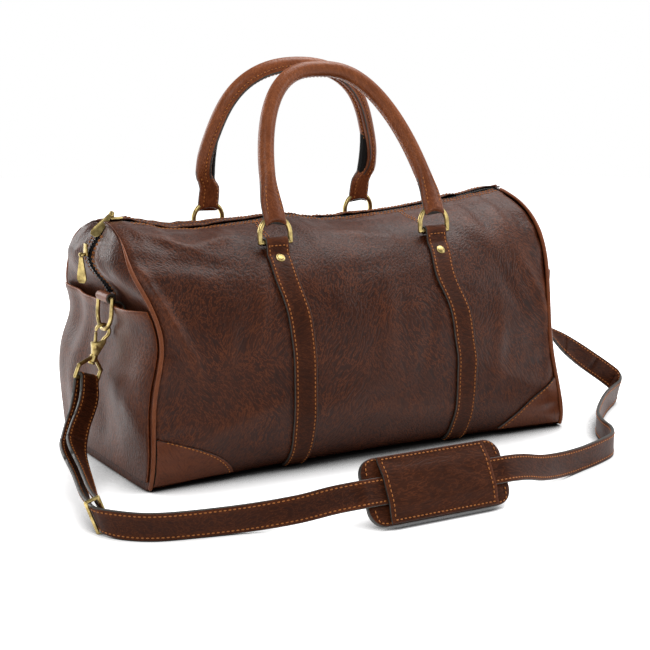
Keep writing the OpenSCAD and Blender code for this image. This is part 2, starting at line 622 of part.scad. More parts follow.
// Swivel loops under the hooks, turned so that the strap hangs as it lies
swivel_r = 2;
swivel_half = sling_w / 2 + 2.2 + swivel_r;
swivel_bar_z = -52;
swivel_arm_z = -40;
swivel_turn = [-64, 0];
collar_r = 4;
module rod(a, b, r) let (d = b - a) translate(a)
    rotate([0, acos(d[2] / norm(d)), atan2(d[1], d[0])]) cylinder(r = r, h = norm(d));
module swivel(turn) rotate([0, 0, turn]) {
    difference() {
        translate([0, 0, post_foot + 0.6]) cylinder(r = collar_r, h = hook_foot - post_foot - 1.2);
        translate([0, 0, post_foot]) cylinder(r = post_r + 0.2, h = hook_foot - post_foot);
    }
    for (k = [-1, 1]) {
        rod([0, k * (collar_r - 0.6), (hook_foot + post_foot) / 2], [0, k * swivel_half, swivel_arm_z], swivel_r);
        translate([0, k * swivel_half, swivel_bar_z]) cylinder(r = swivel_r, h = swivel_arm_z - swivel_bar_z);
        translate([0, k * swivel_half, swivel_arm_z]) sphere(r = swivel_r);
        translate([0, k * swivel_half, swivel_bar_z]) sphere(r = swivel_r);
    }
    translate([0, 0, swivel_bar_z]) rotate([90, 0, 0]) cylinder(r = swivel_r, h = 2 * swivel_half, center = true);
}
module left_swivel() color(brass) hook_frame(false) swivel(swivel_turn[0]);
module right_swivel() color(brass) hook_frame(true) swivel(swivel_turn[1]);
function bar_dir(turn) = [-sin(turn) * cos(hook_tilt), cos(turn), sin(turn) * sin(hook_tilt)];
left_bar = hook_at + swivel_bar_z * [sin(hook_tilt), 0, cos(hook_tilt)];
right_bar = [-left_bar[0], left_bar[1], left_bar[2]];

// Shoulder strap: route points, each with the direction of the strap's upper edge.
// The drop hangs doubled from the left hook and also gives the space between its two layers.
drop_route = [[-283, -31, 76, -0.88, -0.36, 0.3, 11], [-301, -53, 54, -0.9, -0.3, 0.3, 10],
    [-312, -76, 41, -0.75, -0.1, 0.65, 9], [-320, -121, 27, -0.5, 0.2, 0.85, 8],
    [-328, -160, 19, -0.42, 0.2, 0.9, 8], [-331, -186, 16, -0.35, 0.2, 0.92, 8]];
run_route = [[-335, -204, 14, -0.25, 0.1, 0.97], [-320, -224, 13, 0, 0, 1], [-298, -240, 13, 0, 0, 1],
    [-262, -250, 13, 0, 0, 1], [-216, -260, 14, 0, 0.12, 0.99], [-178, -274, 19, 0, 0.3, 0.95],
    [-154, -292, 28, 0, 0.42, 0.91], [-134, -304, 33, 0, 0.47, 0.88], [-114, -304, 33, 0, 0.47, 0.88],
    [-52, -304, 33, 0, 0.47, 0.88], [10, -304, 33, 0, 0.47, 0.88], [30, -304, 33, 0, 0.47, 0.88],
    [54, -297, 29, 0, 0.42, 0.91],
    [84, -286, 21, 0, 0.3, 0.95], [120, -271, 15, 0, 0.12, 0.99], [154, -259, 13, 0, 0, 1],
    [188, -247, 13, 0, 0, 1], [216, -233, 13, 0, 0, 1], [233, -212, 13, 0, 0, 1], [243, -188, 13, 0, 0, 1],
    [262, -157, 13, 0, 0, 1], [296, -122, 13, 0, 0, 1], [332, -90, 13, 0, 0, 1], [362, -68, 13, 0.1, 0, 0.99],
    [380, -55, 15, 0.3, 0, 0.95], [385, -44, 22, 0.55, 0, 0.84], [375, -38, 32, 0.6, 0, 0.8],
    [346, -34, 52, 0.55, 0.1, 0.83], [318, -29, 72, 0.45, 0.5, 0.74], [296, -24, 88, 0.2, 0.9, 0.38]];
sling_steps = 2;
function spline(p, i, k) = let (a = p[max(0, i - 1)], b = p[i], c = p[i + 1], d = p[min(len(p) - 1, i + 2)])
    (2 * b + (c - a) * k + (2 * a - 5 * b + 4 * c - d) * k ^ 2 + (3 * b - a - 3 * c + d) * k ^ 3) / 2;
function smooth(p) = concat([for (i = [0:len(p) - 2], k = [0:sling_steps - 1]) spline(p, i, k / sling_steps)],
    [p[len(p) - 1]]);
function place(q) = [q[0], q[1], q[2]];
function across(q) = unit([q[3], q[4], q[5]]);
wrap_r = swivel_r + layer_gap + sling_t / 2;
left_edge = -bar_dir(swivel_turn[0]);
drop_path = smooth(concat([[each left_bar, each left_edge, 2 * wrap_r]], drop_route));
drop_last = len(drop_path) - 1;
function thick_dir(path, i) = unit(cross(across(path[i]), tangent([for (q = path) place(q)], i)));
function drop_ring(i, side) = let (q = drop_path[i], n = thick_dir(drop_path, i) * side)
    strap_ring(place(q) + n * q[6] / 2, across(q), n, sling_w, sling_t);
module strap_drop() color(leather) loft(concat(
    [for (i = [drop_last:-1:1]) drop_ring(i, -1)],
    [for (a = [180:-30:0]) let (n = thick_dir(drop_path, 0), up = cross(left_edge, n), r = n * cos(a) + up * sin(a))
        strap_ring(left_bar + r * wrap_r, left_edge, r, sling_w, sling_t)],
    [for (i = [1:drop_last]) drop_ring(i, 1)]));

// The run goes on from the outer layer, along the floor and up to the right hook
right_edge = bar_dir(swivel_turn[1]);
arrive = unit([-0.82, 0, 0.57]);
arrive_up = cross(right_edge, arrive);
tail_len = 24;
run_start = let (q = drop_path[drop_last])
    place(q) - thick_dir(drop_path, drop_last) * q[6] / 2 + tangent([for (r = drop_path) place(r)], drop_last);
run_end = right_bar + arrive_up * wrap_r;
run_path = smooth(concat([[each run_start, each across(drop_path[drop_last])]], run_route,
    [[each run_end, each right_edge]]));
run_last = len(run_path) - 1;
function run_ring(i) = strap_ring(place(run_path[i]), across(run_path[i]), thick_dir(run_path, i), sling_w, sling_t);
module strap_run() color(leather) loft(concat([for (i = [0:run_last - 1]) run_ring(i)],
    [for (a = [0:30:180]) let (r = arrive_up * cos(a) + arrive * sin(a))
        strap_ring(right_bar + r * wrap_r, right_edge, r, sling_w, sling_t)],
    [strap_ring(right_bar - arrive_up * wrap_r - arrive * tail_len, right_edge, -arrive_up, sling_w, sling_t)]));

// Buckle where the drop's two layers end and the run begins
buckle_wire = 1.7;
buckle_half = sling_w / 2 + 2 + buckle_wire;
buckle_front = sling_t / 2 + layer_gap + buckle_wire;
buckle_depth = 12;
buckle_spot = 1;
module strap_buckle() color(brass) {
    q = run_path[buckle_spot];
    n = thick_dir(run_path, buckle_spot);
    w = across(q);
    v = cross(w, n);
    translate(place(q)) rotate([atan2(v[2], w[2]), -asin(n[2]), atan2(n[1], n[0])])
        for (x = [-buckle_front, buckle_depth - buckle_front]) {
            translate([x, 0, -buckle_half]) cylinder(r = buckle_wire, h = 2 * buckle_half);
            for (k = [-1, 1]) translate([x, 0, k * buckle_half]) sphere(r = buckle_wire);
            for (k = [-1, 1]) translate([-buckle_front, 0, k * buckle_half]) rotate([0, 90, 0])
                cylinder(r = buckle_wire, h = buckle_depth);
        }
}

// Shoulder pad, leaning back on the floor, with a sleeve that the strap passes through
pad_x = -50;
pad_tilt = 28;
pad_run = [304, 33];
pad_corner = 16;
module pad_frame() translate([pad_x, -pad_run[0], pad_run[1]]) rotate([-pad_tilt, 0, 0]) children();
module pad_base() color(leather_worn) pad_frame() translate([0, sling_t / 2 + layer_gap + pad_t, 0]) rotate([90, 0, 0])
    linear_extrude(pad_t) {
        square([pad_len - 2 * pad_corner, pad_w], center = true);
        square([pad_len, pad_w - 2 * pad_corner], center = true);
        for (i = [-1, 1], j = [-1, 1])
            translate([i * (pad_len / 2 - pad_corner), j * (pad_w / 2 - pad_corner)]) circle(r = pad_corner);
    }
sleeve_margin = 1.5;
sleeve_t = 2.5;
module pad_sleeve() color(leather) pad_frame() {
    edge = pad_w / 2 - sleeve_margin;
    foot = -sling_t / 2;
    top = sling_t / 2 + layer_gap;
    flatp = sling_w / 2 + 1;
    rotate([90, 0, 90]) linear_extrude(sleeve_len, center = true) polygon([[-foot, -edge], [-foot - sleeve_t, -edge],
        [-top - sleeve_t, -flatp - 1], [-top - sleeve_t, flatp + 1], [-foot - sleeve_t, edge], [-foot, edge],
        [-foot, edge - sleeve_t], [-top, flatp], [-top, -flatp], [-foot, -edge + sleeve_t]]);
}

front_panel();
back_panel();
base_panel();
left_end_panel();
right_end_panel();
left_end_pocket();
right_end_pocket();
base_board();
body_lining();
left_end_lining();
right_end_lining();
front_left_patch();
front_right_patch();
rear_left_patch();
rear_right_patch();
left_piping();
right_piping();
front_zip_tape();
rear_zip_tape();
zip_teeth();
upper_slider();
upper_pull();
lower_slider();
lower_pull();
front_left_strap();
front_right_strap();
rear_left_strap();
rear_right_strap();
strap_rivets();
front_left_ring();
front_right_ring();
rear_left_ring();
rear_right_ring();
front_handle();
rear_handle();
front_handle_core();
rear_handle_core();
front_left_tab();
front_right_tab();
rear_left_tab();
rear_right_tab();
left_ring_tab();
right_ring_tab();
left_d_ring();
right_d_ring();
left_hook();
right_hook();
left_gate();
right_gate();
left_gate_pin();
right_gate_pin();
left_swivel();
right_swivel();
strap_drop();
strap_run();
strap_buckle();
pad_base();
pad_sleeve();
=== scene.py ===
"""Looks of a leather holdall: shell, straps, handles, zip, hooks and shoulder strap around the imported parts."""

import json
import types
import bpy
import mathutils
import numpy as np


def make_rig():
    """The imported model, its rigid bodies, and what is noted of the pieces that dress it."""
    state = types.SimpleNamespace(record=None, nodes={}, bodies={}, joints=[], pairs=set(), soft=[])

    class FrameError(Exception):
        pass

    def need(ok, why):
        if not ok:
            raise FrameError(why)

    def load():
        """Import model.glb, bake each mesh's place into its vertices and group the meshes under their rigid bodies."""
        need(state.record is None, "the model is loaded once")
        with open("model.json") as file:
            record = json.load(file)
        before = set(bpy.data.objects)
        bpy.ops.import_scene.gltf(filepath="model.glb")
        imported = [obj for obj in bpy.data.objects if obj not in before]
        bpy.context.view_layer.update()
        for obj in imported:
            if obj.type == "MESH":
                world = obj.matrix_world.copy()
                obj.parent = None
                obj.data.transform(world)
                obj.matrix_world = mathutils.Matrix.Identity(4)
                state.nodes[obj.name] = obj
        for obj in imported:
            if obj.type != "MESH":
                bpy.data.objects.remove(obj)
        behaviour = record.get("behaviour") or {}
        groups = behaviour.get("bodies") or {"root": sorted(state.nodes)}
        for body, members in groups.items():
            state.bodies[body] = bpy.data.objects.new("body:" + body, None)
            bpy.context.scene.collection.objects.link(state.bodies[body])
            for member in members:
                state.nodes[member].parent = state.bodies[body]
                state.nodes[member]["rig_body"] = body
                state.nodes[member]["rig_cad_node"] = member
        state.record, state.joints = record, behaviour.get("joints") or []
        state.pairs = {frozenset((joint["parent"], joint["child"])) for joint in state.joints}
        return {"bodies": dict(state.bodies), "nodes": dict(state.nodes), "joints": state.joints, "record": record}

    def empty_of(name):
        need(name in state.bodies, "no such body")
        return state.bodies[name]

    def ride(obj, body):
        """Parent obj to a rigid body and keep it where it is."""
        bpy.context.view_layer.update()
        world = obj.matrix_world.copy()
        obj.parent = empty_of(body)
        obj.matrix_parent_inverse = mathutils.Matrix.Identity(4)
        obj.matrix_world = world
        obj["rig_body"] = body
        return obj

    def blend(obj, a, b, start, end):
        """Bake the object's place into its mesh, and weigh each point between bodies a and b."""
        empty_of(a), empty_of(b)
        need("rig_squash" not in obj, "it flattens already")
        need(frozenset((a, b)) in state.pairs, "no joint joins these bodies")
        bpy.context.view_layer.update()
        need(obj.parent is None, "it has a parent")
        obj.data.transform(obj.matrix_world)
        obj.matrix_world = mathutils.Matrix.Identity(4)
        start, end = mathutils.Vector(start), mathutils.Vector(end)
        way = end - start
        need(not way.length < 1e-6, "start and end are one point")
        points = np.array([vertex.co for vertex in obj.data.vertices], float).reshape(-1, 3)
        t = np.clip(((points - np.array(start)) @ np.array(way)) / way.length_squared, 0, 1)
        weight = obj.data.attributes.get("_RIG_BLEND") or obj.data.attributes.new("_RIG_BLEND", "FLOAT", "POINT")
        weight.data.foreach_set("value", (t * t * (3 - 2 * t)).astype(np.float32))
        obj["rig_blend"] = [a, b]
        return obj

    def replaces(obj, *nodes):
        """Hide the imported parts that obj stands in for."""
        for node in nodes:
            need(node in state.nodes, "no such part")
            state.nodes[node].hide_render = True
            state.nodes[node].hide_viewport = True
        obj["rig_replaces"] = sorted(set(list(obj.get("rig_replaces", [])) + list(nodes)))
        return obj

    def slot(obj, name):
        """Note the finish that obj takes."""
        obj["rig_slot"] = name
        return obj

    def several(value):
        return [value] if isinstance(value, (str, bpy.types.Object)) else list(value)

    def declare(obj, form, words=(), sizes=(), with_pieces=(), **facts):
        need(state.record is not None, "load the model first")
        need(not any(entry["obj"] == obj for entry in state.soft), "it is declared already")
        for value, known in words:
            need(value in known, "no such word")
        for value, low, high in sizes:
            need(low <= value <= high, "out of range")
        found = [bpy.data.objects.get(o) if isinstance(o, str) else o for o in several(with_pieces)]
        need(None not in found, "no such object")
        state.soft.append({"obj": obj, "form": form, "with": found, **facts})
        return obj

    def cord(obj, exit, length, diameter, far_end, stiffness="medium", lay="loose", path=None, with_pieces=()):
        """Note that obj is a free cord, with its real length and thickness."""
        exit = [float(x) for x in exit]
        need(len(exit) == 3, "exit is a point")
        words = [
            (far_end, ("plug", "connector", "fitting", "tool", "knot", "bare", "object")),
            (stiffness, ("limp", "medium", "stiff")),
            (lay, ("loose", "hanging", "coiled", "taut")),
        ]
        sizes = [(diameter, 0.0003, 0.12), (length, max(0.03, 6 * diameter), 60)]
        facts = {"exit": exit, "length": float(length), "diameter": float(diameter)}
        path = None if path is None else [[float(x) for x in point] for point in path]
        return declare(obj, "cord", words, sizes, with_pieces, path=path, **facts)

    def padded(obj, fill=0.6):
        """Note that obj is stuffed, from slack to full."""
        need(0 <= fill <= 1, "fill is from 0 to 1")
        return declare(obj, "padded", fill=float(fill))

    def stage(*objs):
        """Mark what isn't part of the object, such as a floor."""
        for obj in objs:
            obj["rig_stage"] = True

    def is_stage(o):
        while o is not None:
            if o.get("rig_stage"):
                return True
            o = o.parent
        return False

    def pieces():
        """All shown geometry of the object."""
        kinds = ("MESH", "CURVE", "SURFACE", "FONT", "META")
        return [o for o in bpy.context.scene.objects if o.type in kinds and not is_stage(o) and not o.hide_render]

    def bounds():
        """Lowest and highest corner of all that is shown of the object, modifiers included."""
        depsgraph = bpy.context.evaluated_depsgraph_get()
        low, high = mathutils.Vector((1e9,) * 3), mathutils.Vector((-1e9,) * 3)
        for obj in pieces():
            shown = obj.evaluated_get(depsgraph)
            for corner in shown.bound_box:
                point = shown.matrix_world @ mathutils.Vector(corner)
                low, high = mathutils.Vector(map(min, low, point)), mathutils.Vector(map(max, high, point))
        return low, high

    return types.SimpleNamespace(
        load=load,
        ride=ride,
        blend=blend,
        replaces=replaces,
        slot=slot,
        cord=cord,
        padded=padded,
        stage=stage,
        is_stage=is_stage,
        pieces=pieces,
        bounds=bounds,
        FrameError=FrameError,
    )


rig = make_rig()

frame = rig.load()

import json
import math

import bmesh
import bpy
from bpy.props import FloatProperty, FloatVectorProperty, PointerProperty
from mathutils import Matrix, Vector, noise

bl_info = {
    "name": "Leather holdall",
    "version": (1, 0, 0),
    "blender": (4, 5, 0),
    "location": "View3D > Sidebar > Holdall",
    "description": "Builds the leather, thread, zip and brass of a holdall around its packed parts",
    "category": "Object",
}

MM = 0.001
CAD_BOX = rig.bounds()


def linear(code):
    """An sRGB hex colour as linear red, green, blue and alpha."""
    parts = [int(code[k : k + 2], 16) / 255 for k in (1, 3, 5)]
    return [c / 12.92 if c <= 0.04045 else ((c + 0.055) / 1.055) ** 2.4 for c in parts] + [1.0]


def length(name, text, mm):
    """A size property, from millimetres."""
    return FloatProperty(name=name, description=text, default=mm * MM, unit="LENGTH", precision=4)


def tint(name, text, code):
    """A colour property, from an sRGB hex colour."""
    return FloatVectorProperty(name=name, description=text, default=linear(code), size=4, subtype="COLOR", min=0, max=1)


class HoldallSizes(bpy.types.PropertyGroup):
    body_len: length("Length", "Length between the end seams at the base", 500)
    body_h: length("Height", "Height at the ends of the zip", 254)
    belly_mid: length("Middle half depth", "Half depth at the middle of the length", 132)
    belly_end: length("End half depth", "Half depth at the end seams", 117)
    top_sag: length("Sag", "How far the zip line sags in the middle", 17)
    shell_t: length("Leather", "Thickness of the shell leather", 2.5)
    piping_r: length("Piping", "Radius of the piping on the end seams", 2.1)
    strap_w: length("Strap width", "Width of a body strap", 25)
    strap_t: length("Strap thickness", "Thickness of a body strap", 2.5)
    handle_r: length("Handle", "Radius of a rolled handle", 8.3)
    sling_w: length("Shoulder strap width", "Width of the shoulder strap", 25)
    sling_t: length("Shoulder strap thickness", "Thickness of the shoulder strap", 3.2)
    pad_len: length("Pad length", "Length of the shoulder pad", 152)
    pad_w: length("Pad width", "Width of the shoulder pad", 62)
    pad_t: length("Pad thickness", "Thickness of the shoulder pad", 8)
    stitch_pitch: length("Stitch pitch", "Distance from one stitch to the next", 4.4)
    stitch_len: length("Stitch length", "Length of one stitch", 3.3)
    tooth_pitch: length("Tooth pitch", "Distance from one zip tooth to the next", 1.6)


class HoldallColours(bpy.types.PropertyGroup):
    leather: tint("Leather", "Main colour of the leather", "#3E1C0E")
    # Colour of the crease valleys: partly the grain's own tone, partly painted shade
    worn: tint("Worn leather", "Colour where the leather is pulled or rubbed", "#84482A")
    deep: tint("Deep leather", "Colour in the grain and the dark blotches", "#220F08")
    strap: tint("Strap leather", "Colour of the body straps and the shoulder strap", "#381A0D")
    trim: tint("Trim leather", "Colour of the patches", "#68351D")
    handle: tint("Handle leather", "Colour of the rolled handles", "#7A4125")
    tan: tint("Rubbed leather", "Colour of the piping, the ring tabs and the handles where they are rubbed", "#BC6F42")
    thread: tint("Thread", "Colour of the stitching", "#E08C3C")
    edge: tint("Edge paint", "Colour of the painted edges", "#25211F")
    brass: tint("Brass", "Colour of the antique brass", "#CBB577")
    zip: tint("Zip", "Colour of the zip tape and teeth", "#0C0B0C")


SIZE = {}
ENDS = ("left", "right")
FACES = ("front", "rear")
INSIDE = (0, 0, 120)  # a point inside the bag, in millimetres
WIDEST = 108  # height at which the bag is widest
SLOT = 7.6  # half the width of the zip's opening
RING_X = 95  # how far the body straps and their rings stand from the middle
RING_DROP = 32  # how far the rings' bars stand below the ends of the zip


def read_sizes():
    """Copies the sizes, in millimetres, to SIZE."""
    sizes = bpy.context.scene.holdall_sizes
    for name in HoldallSizes.__annotations__:
        SIZE[name] = getattr(sizes, name) / MM


# Shape of the bag, in millimetres


def lerp(a, b, k):
    return a + (b - a) * k


def ease(low, high, value):
    """0 at low and 1 at high, with a smooth start and end."""
    k = min(1, max(0, (value - low) / (high - low)))
    return k * k * (3 - 2 * k)


def bell(value, width):
    """1 at 0, falling away to both sides within about twice the width."""
    return math.exp(-((value / width) ** 2))


def heading(degrees):
    """Cosine and sine of an angle."""
    return math.cos(math.radians(degrees)), math.sin(math.radians(degrees))


def turns(count):
    """Cosine and sine at even steps round a circle."""
    return [(math.cos(math.tau * n / count), math.sin(math.tau * n / count)) for n in range(count)]


def mirrored(p, right, rear):
    """A point of the front left, taken to the right or the rear."""
    return Vector((-p.x if right else p.x, -p.y if rear else p.y, p.z))


def half_len():
    return SIZE["body_len"] / 2


def bump(x):
    """1 at the middle of the length and 0 at the end seams."""
    return max(0, 1 - (x / half_len()) ** 2)


def top_z(x):
    """Height of the zip line."""
    lean = math.copysign(5 * (x / half_len()) ** 2, x)
    return SIZE["body_h"] - SIZE["top_sag"] * max(0, 1 - (x / 215) ** 2) + 6 * bell(x + 45, 30) + lean


def base_y(x):
    """Half width of the base."""
    return lerp(100, 74, bump(x))


def crown(x):
    """How wide the top is rounded, as the handle of its curve."""
    return lerp(64, 78, bump(x))


def bezier(a, b, c, d, t):
    s = 1 - t
    return s**3 * a + 3 * s * s * t * b + 3 * s * t * t * c + t**3 * d


def section(x, t):
    """Front half of the section at x as (y, z): t is 0 at the base, 1 at the widest level and 2 at the zip."""
    b = bump(x)
    belly = lerp(SIZE["belly_end"], SIZE["belly_mid"], b)
    if t <= 1:
        foot = -base_y(x)
        flank = WIDEST - lerp(88, 64, b)
        return bezier(foot, foot - lerp(12, 42, b), -belly, -belly, t), bezier(0, 0, flank, WIDEST, t)
    top = top_z(x)
    shoulder = WIDEST + lerp(80, 90, b)
    return bezier(-belly, -belly, -crown(x), 0, t - 1), bezier(WIDEST, shoulder, top, top, t - 1)


def outward(x, t):
    """Direction out of the section, as y and z."""
    y0, z0 = section(x, max(0, t - 0.004))
    y1, z1 = section(x, min(2, t + 0.004))
    size = math.hypot(y1 - y0, z1 - z0)
    return (z0 - z1) / size, (y1 - y0) / size


def skin(x, t, off):
    """A point off the plain front half of the bag."""
    y, z = section(x, t)
    ny, nz = outward(x, t)
    return Vector((x, y + ny * off, z + nz * off))


def t_at(x, z):
    """The t at which the section at x is z high."""
    low, high = 0.0, 2.0
    for _ in range(26):
        mid = (low + high) / 2
        low, high = (mid, high) if section(x, mid)[1] < z else (low, mid)
    return (low + high) / 2


def slot_t(x, half):
    """The t at which the section at x is half from the zip."""
    return 2 - half / (3 * crown(x))


# How far the ends draw in at half height and at the top: in their middle, and at the right end's two seams
MIDDLE = (20, 12)
SEAMS = ((29, 20), (3, 4))


def draw_in(z, mid, top):
    """How far an end draws in at height z."""
    u = min(1, max(0, z / SIZE["body_h"]))
    return mid * math.sin(math.pi * u) ** 1.5 + top * u**6


def seam_x(t, right, rear):
    """Reach of a seam from the middle. The left ones are pinched above half height and full at their tops."""
    z = section(half_len() if right else -half_len(), t)[1]
    if right:
        return half_len() - draw_in(z, *SEAMS[rear])
    if rear:
        return half_len() + 3 * bell(z - 80, 40) + 3 * bell(z - 224, 18) - 10 * bell(z - 144, 26)
    return half_len() - ease(0, 40, z) - 11 * bell(z - 146, 40) + 5 * bell(z - 212, 22)


def rim(t, right, rear):
    """Where an end seam runs, as y and z of the front half."""
    x = seam_x(t, right, rear)
    return section(x if right else -x, t)


def bulge(z):
    """How far the middle of an end swells, most of all under the zip."""
    low = SIZE["body_h"] - 40
    return 22 * bell(z - low, 24 if z > low else 30) + 14 * bell(z - 90, 60)


def end_x(z):
    """Reach of the middle of an end panel."""
    return half_len() - draw_in(z, *MIDDLE) + bulge(z)


# Soft folds of each side: middle x and z, turn from the length in degrees, half length, half width and height
FOLDS = (
    (
        (-226, 167, -68, 38, 5, 5.6), (-204, 120, -74, 36, 7, 2.8), (-236, 150, -72, 32, 5, -1.9),
        (-206, 234, -19, 28, 4, 3.8), (-148, 231, 8, 32, 4, 3.4), (-180, 212, -6, 46, 7, -1.9),
        (-172, 122, 80, 44, 9, 2.2), (-130, 170, 70, 40, 8, 1.6), (6, 227, -8, 46, 5, 2.8),
        (24, 200, 6, 70, 9, -1.6), (10, 150, 80, 50, 12, 1.8), (56, 120, 76, 44, 9, -1.4),
        (150, 222, -40, 34, 13, 2.2), (196, 190, -74, 36, 12, 2.4), (214, 140, -76, 44, 7, 2.8),
        (176, 150, -64, 44, 8, -1.8), (222, 86, 86, 40, 7, 2.4), (150, 110, 84, 44, 9, 1.8),
        (-160, 60, 20, 60, 12, 1.8), (40, 50, -8, 80, 12, 1.8), (170, 70, -24, 56, 10, 1.8),
    ),
    (
        (200, 190, -64, 46, 8, 3.4), (-206, 180, 66, 44, 8, 3.2), (-20, 212, 5, 70, 9, 2.6),
        (176, 214, -20, 44, 7, 2.6), (90, 120, 78, 50, 10, 1.8), (-120, 90, 12, 70, 12, 1.8),
        (150, 70, -16, 60, 11, 1.8), (-170, 130, 80, 44, 9, 2.2),
    ),
)


def sag_of(x, z, side):
    """How far the soft shell stands off its plain shape at x and z on the front (0) or the rear (1)."""
    lift = 1.6 * noise.noise(Vector((x / 80, z / 56, 9.3 * side)))
    lift += 0.8 * noise.noise(Vector((x / 28, z / 24, 4.1 + side)))
    lift += 1.6 * noise.noise(Vector((x / 40, z / 11, 7.7 + side))) * bell(max(0, half_len() - 18 - abs(x)), 30)
    lift += 1.5 * noise.noise(Vector((x / 11, z / 30, 2.3 + side))) * ease(206, 236, z)
    for cx, cz, turn, long, wide, high in FOLDS[side]:
        c, s = heading(turn)
        dx, dz = x - cx, z - cz
        lift += high * bell(dx * c + dz * s, long) * bell(dz * c - dx * s, wide)
    held = bell(abs(x) - RING_X, 34) * ease(170, 212, z)
    return max(-2.0, lift) * (1 - held) * ease(0, 26, z)


def dip(x):
    """How far the zip line dips between the upper slider and the left rings."""
    return 10 * bell(x + 168, 50)


def shell_point(x, t, side, off):
    """A point off the soft shell, on the front (0) or mirrored to the rear (1)."""
    aside = (2 - t) * 3 * crown(x)
    welt = 1.5 * ease(30, 21, aside) + (5 * bell(aside - 24, 15) * bell(x + 160, 80) if side else 0)
    p = skin(x, t, off + welt - dip(x) * bell(aside, 42) + sag_of(x, section(x, t)[1], side))
    return mirrored(p, False, side)


def shell_normal(x, t, side):
    ny, nz = outward(x, t)
    return Vector((0, -ny if side else ny, nz))


# Mesh helpers


def new_mesh():
    bm = bmesh.new()
    bm.verts.layers.float.new("wear")
    return bm


def lattice(bm, cols, rows, place, wear=None, paint=None):
    """A grid of cols by rows faces. Corner (i, j) goes to place(i, j) in millimetres, with its wear and its paint."""
    made = bmesh.ops.create_grid(bm, x_segments=cols, y_segments=rows, size=0.5)["verts"]
    layer = bm.verts.layers.float["wear"]
    spot = {}
    for n, v in enumerate(made):
        spot[v] = i, j = n % (cols + 1), n // (cols + 1)
        v.co = Vector(place(i, j)) * MM
        v[layer] = wear(i, j) if wear else 0
    if paint:
        for face in {f for v in made for f in v.link_faces}:
            face.material_index = paint(*(min(spot[v][k] for v in face.verts) for k in (0, 1)))
    return made


def close(bm, verts):
    """Welds a grid that was rolled into a tube and fills its ends."""
    bmesh.ops.remove_doubles(bm, verts=verts, dist=1e-6)
    rims = [e for e in bm.edges if e.is_boundary]
    bmesh.ops.holes_fill(bm, edges=rims, sides=0)


def tube(bm, rings, wear=None, paint=None):
    """A closed skin through rings that each have the same number of points."""
    count = len(rings[0])
    made = lattice(bm, len(rings) - 1, count, lambda i, j: rings[i][j % count], wear, paint)
    close(bm, made)


def tangents(points):
    """Direction of a line at each of its points."""
    last = len(points) - 1
    return [(points[min(last, k + 1)] - points[max(0, k - 1)]).normalized() for k in range(last + 1)]


def marks_along(points):
    """The length of a line up to each of its points."""
    marks = [0.0]
    for a, b in zip(points, points[1:]):
        marks.append(marks[-1] + (b - a).length)
    return marks


def resample(points, step):
    """Points at even steps along a line."""
    marks = marks_along(points)
    count = max(1, round(marks[-1] / step))
    out, k = [], 0
    for n in range(count + 1):
        want = marks[-1] * n / count
        while k < len(points) - 2 and marks[k + 1] < want:
            k += 1
        span = marks[k + 1] - marks[k]
        out.append(points[k].lerp(points[k + 1], (want - marks[k]) / span if span else 0))
    return out


def sew(bm, points, normals, index=0, lift=0.15):
    """A row of stitches along a line of points, each lying on the surface whose normal it has."""
    pitch, long = SIZE["stitch_pitch"], SIZE["stitch_len"]
    marks = marks_along(points)
    want, k = pitch / 2, 0
    while want < marks[-1]:
        while marks[k + 1] < want:
            k += 1
        part = (want - marks[k]) / (marks[k + 1] - marks[k])
        middle = points[k].lerp(points[k + 1], part)
        along = (points[k + 1] - points[k]).normalized()
        up = normals[k].lerp(normals[k + 1], part)
        up = (up - along * up.dot(along)).normalized()
        turn = Matrix((along, up.cross(along), up)).transposed().to_4x4()
        made = bmesh.ops.create_icosphere(bm, subdivisions=1, radius=1)["verts"]
        for v in made:
            v.co = Vector((v.co.x * long / 2, v.co.y * 0.7, v.co.z * 0.5)) * MM
        bmesh.ops.transform(bm, matrix=Matrix.Translation((middle + up * lift) * MM) @ turn, verts=made)
        for face in {f for v in made for f in v.link_faces}:
            face.material_index = index
        want += pitch


def link(name, data):
    """Makes an object of data in the scene."""
    made = bpy.data.objects.new(name, data)
    bpy.context.scene.collection.objects.link(made)
    return made


def piece(name, bm, paints, body, nodes=(), slot=None, inside=None, thick=0, rim=0):
    """Makes the mesh an object that rides a body and stands for CAD nodes. inside is a point behind its face, and
    rim what the edges of its thickness add to the number of its paint."""
    bmesh.ops.recalc_face_normals(bm, faces=bm.faces[:])
    if inside is not None:
        middle = Vector(inside) * MM
        facing = sum(f.normal.dot(f.calc_center_median() - middle) * f.calc_area() for f in bm.faces)
        if facing < 0:
            bmesh.ops.reverse_faces(bm, faces=bm.faces[:])
    data = bpy.data.meshes.new(name)
    bm.to_mesh(data)
    bm.free()
    data.polygons.foreach_set("use_smooth", [True] * len(data.polygons))
    for paint in paints:
        data.materials.append(material(paint))
    obj = link(name, data)
    if thick:
        mod = obj.modifiers.new("Thickness", "SOLIDIFY")
        mod.thickness = thick * MM
        mod.offset = -1
        mod.material_offset_rim = rim
    if body:
        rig.ride(obj, body)
    if nodes:
        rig.replaces(obj, *nodes)
    if slot:
        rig.slot(obj, slot)
    return obj


def ribbon_rings(frames, wide, thick):
    """Rings of a flat strap with eased edges. A frame is its middle, its width direction and its face's normal."""
    a, b = wide / 2, thick / 2
    quarter = [(a, b - 0.35), (a - 0.5, b), (a * 0.8, b + 0.1), (a * 0.4, b)]
    upper = [(-x, y) for x, y in quarter] + quarter[::-1]
    outline = [(-a, 0.35 - b)] + upper + [(x, -y) for x, y in upper[:0:-1]]
    return [[p + w * across + n * up for across, up in outline] for p, w, n in frames]


def ribbon_paint(i, j):
    """Edge paint on the sides of a strap, leather on its faces."""
    return 1 if j in (0, 1, 7, 8, 9, 15) else 0


